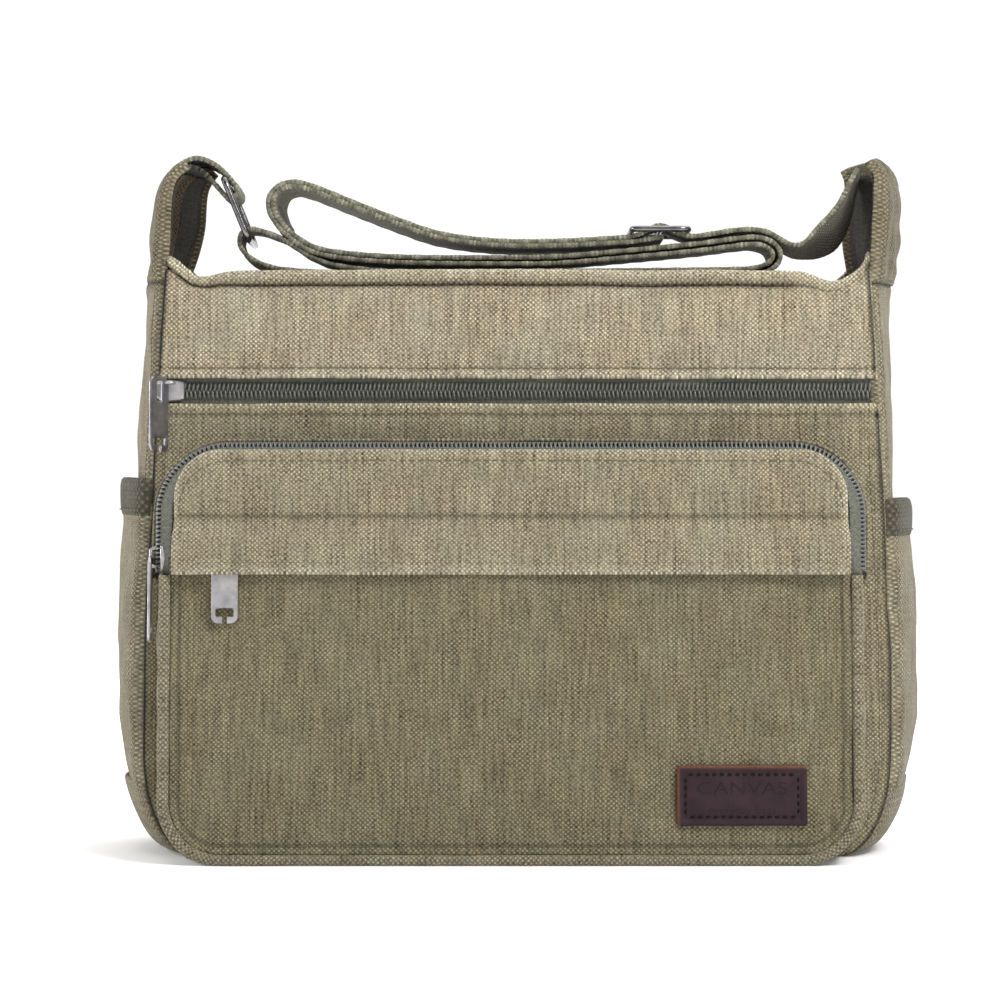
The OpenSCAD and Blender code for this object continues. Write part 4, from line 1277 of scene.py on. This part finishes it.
def strap():
    """The webbing: folded on top of the bag, turned in the ring and sewn into the right ear."""
    fold = spline(FOLD, 8)
    opened = np.interp(-fold[:, 0], [60, 84, 90.5, 97, 105, 111], [0, 0.8, 2, 3.4, 5.8, 6.2])
    near_ring = (np.arange(len(fold)) > len(fold) * 0.6) & (fold[:, 1] < 268.5)
    gap = PLY + opened * near_ring
    turn = spline(RING_TURN, 6)
    line = np.concatenate([spline(TUCK, 4), shifted(fold, gap[:, None]), turn,
                           shifted(fold, -gap[:, None])[::-1], spline(SINGLE, 8)])
    line = resample(line, 2.0)
    for _ in range(3):
        line[1:-1] = (line[:-2] + 2 * line[1:-1] + line[2:]) / 4

    def roll(path, s):
        last = s > s[-1] - 118
        return 1.2 * np.sin(s / 90) - 20 * hump(path[:, 0], 141, 12) * last

    def slew(v):
        """The fold's left end is a little askew, so that its inner face shows."""
        return v + join(3.6 * hump(v[:, 0], -112, 9) * (v[:, 2] > 279) * (v[:, 1] / STRAP_W + 0.5),
                             0 * v[:, 0], 0 * v[:, 0])
    made = ribbon("folded_strap", line, STRAP_W, STRAP_T, WEBBING, roll, 0.6, slew,
                  replaces=["strap_webbing"])
    loop = resample(spline(LOOP_PATH, 8), 1.0)
    # The loop's last stretch, tucked under, gets painted shade.
    ribbon("ring_loop_webbing", loop, STRAP_W, 2.0, WEBBING, replaces=["strap_loop"],
           shade=lambda s: smooth(s, s[-1] - 22, s[-1] - 8))


def wire_frame(length, half, bend, radius, put):
    """A rectangle of round wire, length along X from the origin."""
    path = (arc(bend, -half + bend, bend, 180, 270, 9) + arc(length - bend, -half + bend, bend, 270, 360, 9)
            + arc(length - bend, half - bend, bend, 0, 90, 9) + arc(bend, half - bend, bend, 90, 180, 9))
    path = np.array([[x, y, 0] for x, y in path])
    path = resample(np.concatenate([path, path[:1]]), 1.2)[:-1]
    v, f = tube(path, radius, 14, closed=True)
    return put(v), f


def ring_and_buckle():
    half = span("rectangle_ring")[1][1] - 1.6
    along = RING_FOOT - RING_PIVOT
    angle = math.degrees(math.atan2(along[1], along[0]))

    def put(v):
        return v @ rotation_y(-angle).T + (RING_PIVOT[0], 0, RING_PIVOT[1])
    v, f = wire_frame(float(np.hypot(*along)), half, 3.6, 1.45, put)
    piece("ring_wire", v, f, WIRE, body="rectangle_ring", replaces=["rectangle_ring"], slot="gunmetal")
    low, high = span("slide_buckle")
    centre = (low + high) / 2
    pile = Pile()
    size = (high - low)[0] - 2.8

    def level(v):
        return v + (centre[0] - size / 2, 0, centre[2])
    pile.add(*wire_frame(size, half, 3.2, 1.4, level))
    bar = np.array([[centre[0], y, centre[2]] for y in np.linspace(-half, half, 12)])
    pile.add(*tube(bar, 1.2, 14))
    pile.piece("slide_buckle_wire", WIRE, replaces=["slide_buckle"], slot="gunmetal")


# ---- Label and lining --------------------------------------------------------------------------
def label():
    """The leather label with its raw edge and stitching."""
    low, high = span("leather_label")
    cx, cz = (low[0] + high[0]) / 2 + 4.6, 29.8
    w, h = (high[0] - low[0]) / 2, 12.0

    def surface(u, v):
        d = np.minimum(w - np.abs(u - cx), h - np.abs(v - cz))
        out = 2.1 + waves(111, u, v, 26, 0.16) - 0.3 * hump(d, 2.4, 0.7) + 0.25 * hump(d, 0, 1.0)
        return pocket_point(u, v, face_out(u, v) + out)
    u, v = grid(cx + np.linspace(-1, 1, 111) * w, cz + np.linspace(-1, 1, 49) * h)
    d = np.minimum(w - np.abs(u - cx), h - np.abs(v - cz))
    fray = np.clip(1.0 - d / 0.7, 0, 1) * ((u < cx - w + 1.0) | (v > cz + h - 1.0)) * 0.9
    slab("leather_label_patch", surface(u, v), 1.6, LEATHER, join(u, v), wear_and_shade=fray,
         replaces=["leather_label"], slot="label_leather")
    pile = Pile()
    inset = 3.1
    for x0, z0, x1, z1 in ((-1, 1, 1, 1), (1, 1, 1, -1), (1, -1, -1, -1), (-1, -1, -1, 1)):
        t = np.linspace(0, 1, 60)
        u = cx + (w - inset) * (x0 + (x1 - x0) * t)
        v = cz + (h - inset) * (z0 + (z1 - z0) * t)
        stitches(pile, surface, np.stack([u, v], 1), length=2.0, space=1.3, radius=0.5, sink=-0.05)
    pile.piece("label_stitching", DARK_THREAD, slot="label_leather")
    lettering(cx, cz, surface)


def lettering(cx, cz, surface):
    """Plain generic words pressed into the label."""
    letters = Pile()
    for words, size, drop in (("CANVAS", 7.6, 0.6), ("everyday bags", 4.6, -7.6)):
        curve = bpy.data.curves.new("lettering", "FONT")
        curve.body, curve.size, curve.align_x = words, size, "CENTER"
        text = bpy.data.objects.new("lettering", curve)
        mesh = text.to_mesh()
        flat = np.array([tuple(v.co) for v in mesh.vertices])
        faces = [list(f.vertices) for f in mesh.polygons]
        text.to_mesh_clear()
        bpy.data.objects.remove(text)
        bpy.data.curves.remove(curve)
        stretch = 1.35 if size > 5 else 1.15
        at = surface(cx + flat[:, 0] * stretch, cz + flat[:, 1] + drop)
        letters.add(at + (0, -0.06, 0), faces)
    letters.piece("label_lettering", EMBOSSED, slot="label_leather")


def inner_parts():
    """The frame's own lining pieces get a cloth material."""
    for node in ("lining", "inner_pocket"):
        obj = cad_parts[node]
        obj.data.materials.clear()
        obj.data.materials.append(LINING)


# ---- Stage -------------------------------------------------------------------------------------
def stage():
    """The ground the bag stands on."""
    mesh = bpy.data.meshes.new("floor")
    r = 6.0
    mesh.from_pydata([(-r, -r, 0), (r, -r, 0), (r, r, 0), (-r, r, 0)], [], [(0, 1, 2, 3)])
    floor = bpy.data.objects.new("floor", mesh)
    mesh.materials.append(floor_material())
    bpy.context.scene.collection.objects.link(floor)


def light(name, where, aim, size, power):
    data = bpy.data.lights.new(name, "AREA")
    data.shape = "RECTANGLE"
    data.size, data.size_y = size
    data.energy = power
    obj = bpy.data.objects.new(name, data)
    obj.location = where
    obj.rotation_euler = (Vector(aim) - Vector(where)).to_track_quat("-Z", "Y").to_euler()
    bpy.context.scene.collection.objects.link(obj)


def studio():
    """A soft white room: bright behind the bag and round the horizon, dimmer above the front, with a key
    light there."""
    world = bpy.data.worlds.new("studio")
    world.use_nodes = True
    tree = world.node_tree
    background = tree.nodes["Background"]

    def node(kind, operation=None, **inputs):
        made = tree.nodes.new("ShaderNode" + kind)
        if operation:
            made.operation = operation
        for key, value in inputs.items():
            made.inputs[key.replace("_", " ")].default_value = value
        return made
    where = node("TexCoord")
    axes = node("SeparateXYZ")
    ramp = node("MapRange", From_Min=-0.4, From_Max=0.6, To_Min=0.22, To_Max=1.06)
    band = node("MapRange", From_Min=0.10, From_Max=0.20, To_Min=1.06, To_Max=0.0)
    ramp.interpolation_type = band.interpolation_type = "SMOOTHSTEP"
    level = node("Math", "ABSOLUTE")
    most = node("Math", "MAXIMUM")
    for output, socket in ((where.outputs["Generated"], axes.inputs[0]),
                           (axes.outputs["Y"], ramp.inputs["Value"]), (axes.outputs["Z"], level.inputs[0]),
                           (level.outputs[0], band.inputs["Value"]), (ramp.outputs["Result"], most.inputs[0]),
                           (band.outputs["Result"], most.inputs[1]),
                           (most.outputs[0], background.inputs["Strength"])):
        tree.links.new(output, socket)
    background.inputs["Color"].default_value = (1, 1, 1, 1)
    bpy.context.scene.world = world
    bpy.context.scene.view_settings.view_transform = "Standard"
    light("key", (0.75, -1.0, 1.2), (0, 0, 0.2), (0.6, 0.5), 22)
    light("left", (-1.3, 0.1, 0.5), (-0.15, 0, 0.15), (0.5, 0.8), 11)
    light("top", (0.3, 0.2, 1.9), (0, 0, 0.1), (2.4, 2.4), 40)


def camera():
    data = bpy.data.cameras.new("camera")
    data.lens = 118.4
    data.sensor_width = 36
    data.clip_end = 60
    obj = bpy.data.objects.new("camera", data)
    obj.location = (-0.0075, -1.485, 0.1558)
    obj.rotation_euler = (math.pi / 2, 0, 0)
    bpy.context.scene.collection.objects.link(obj)
    bpy.context.scene.camera = obj


camera()
strap()
ring_and_buckle()
panels()
seam_threads()
gussets()
base()
top_strips()
pocket()
zips()
hardware()
label()
inner_parts()
stage()
studio()
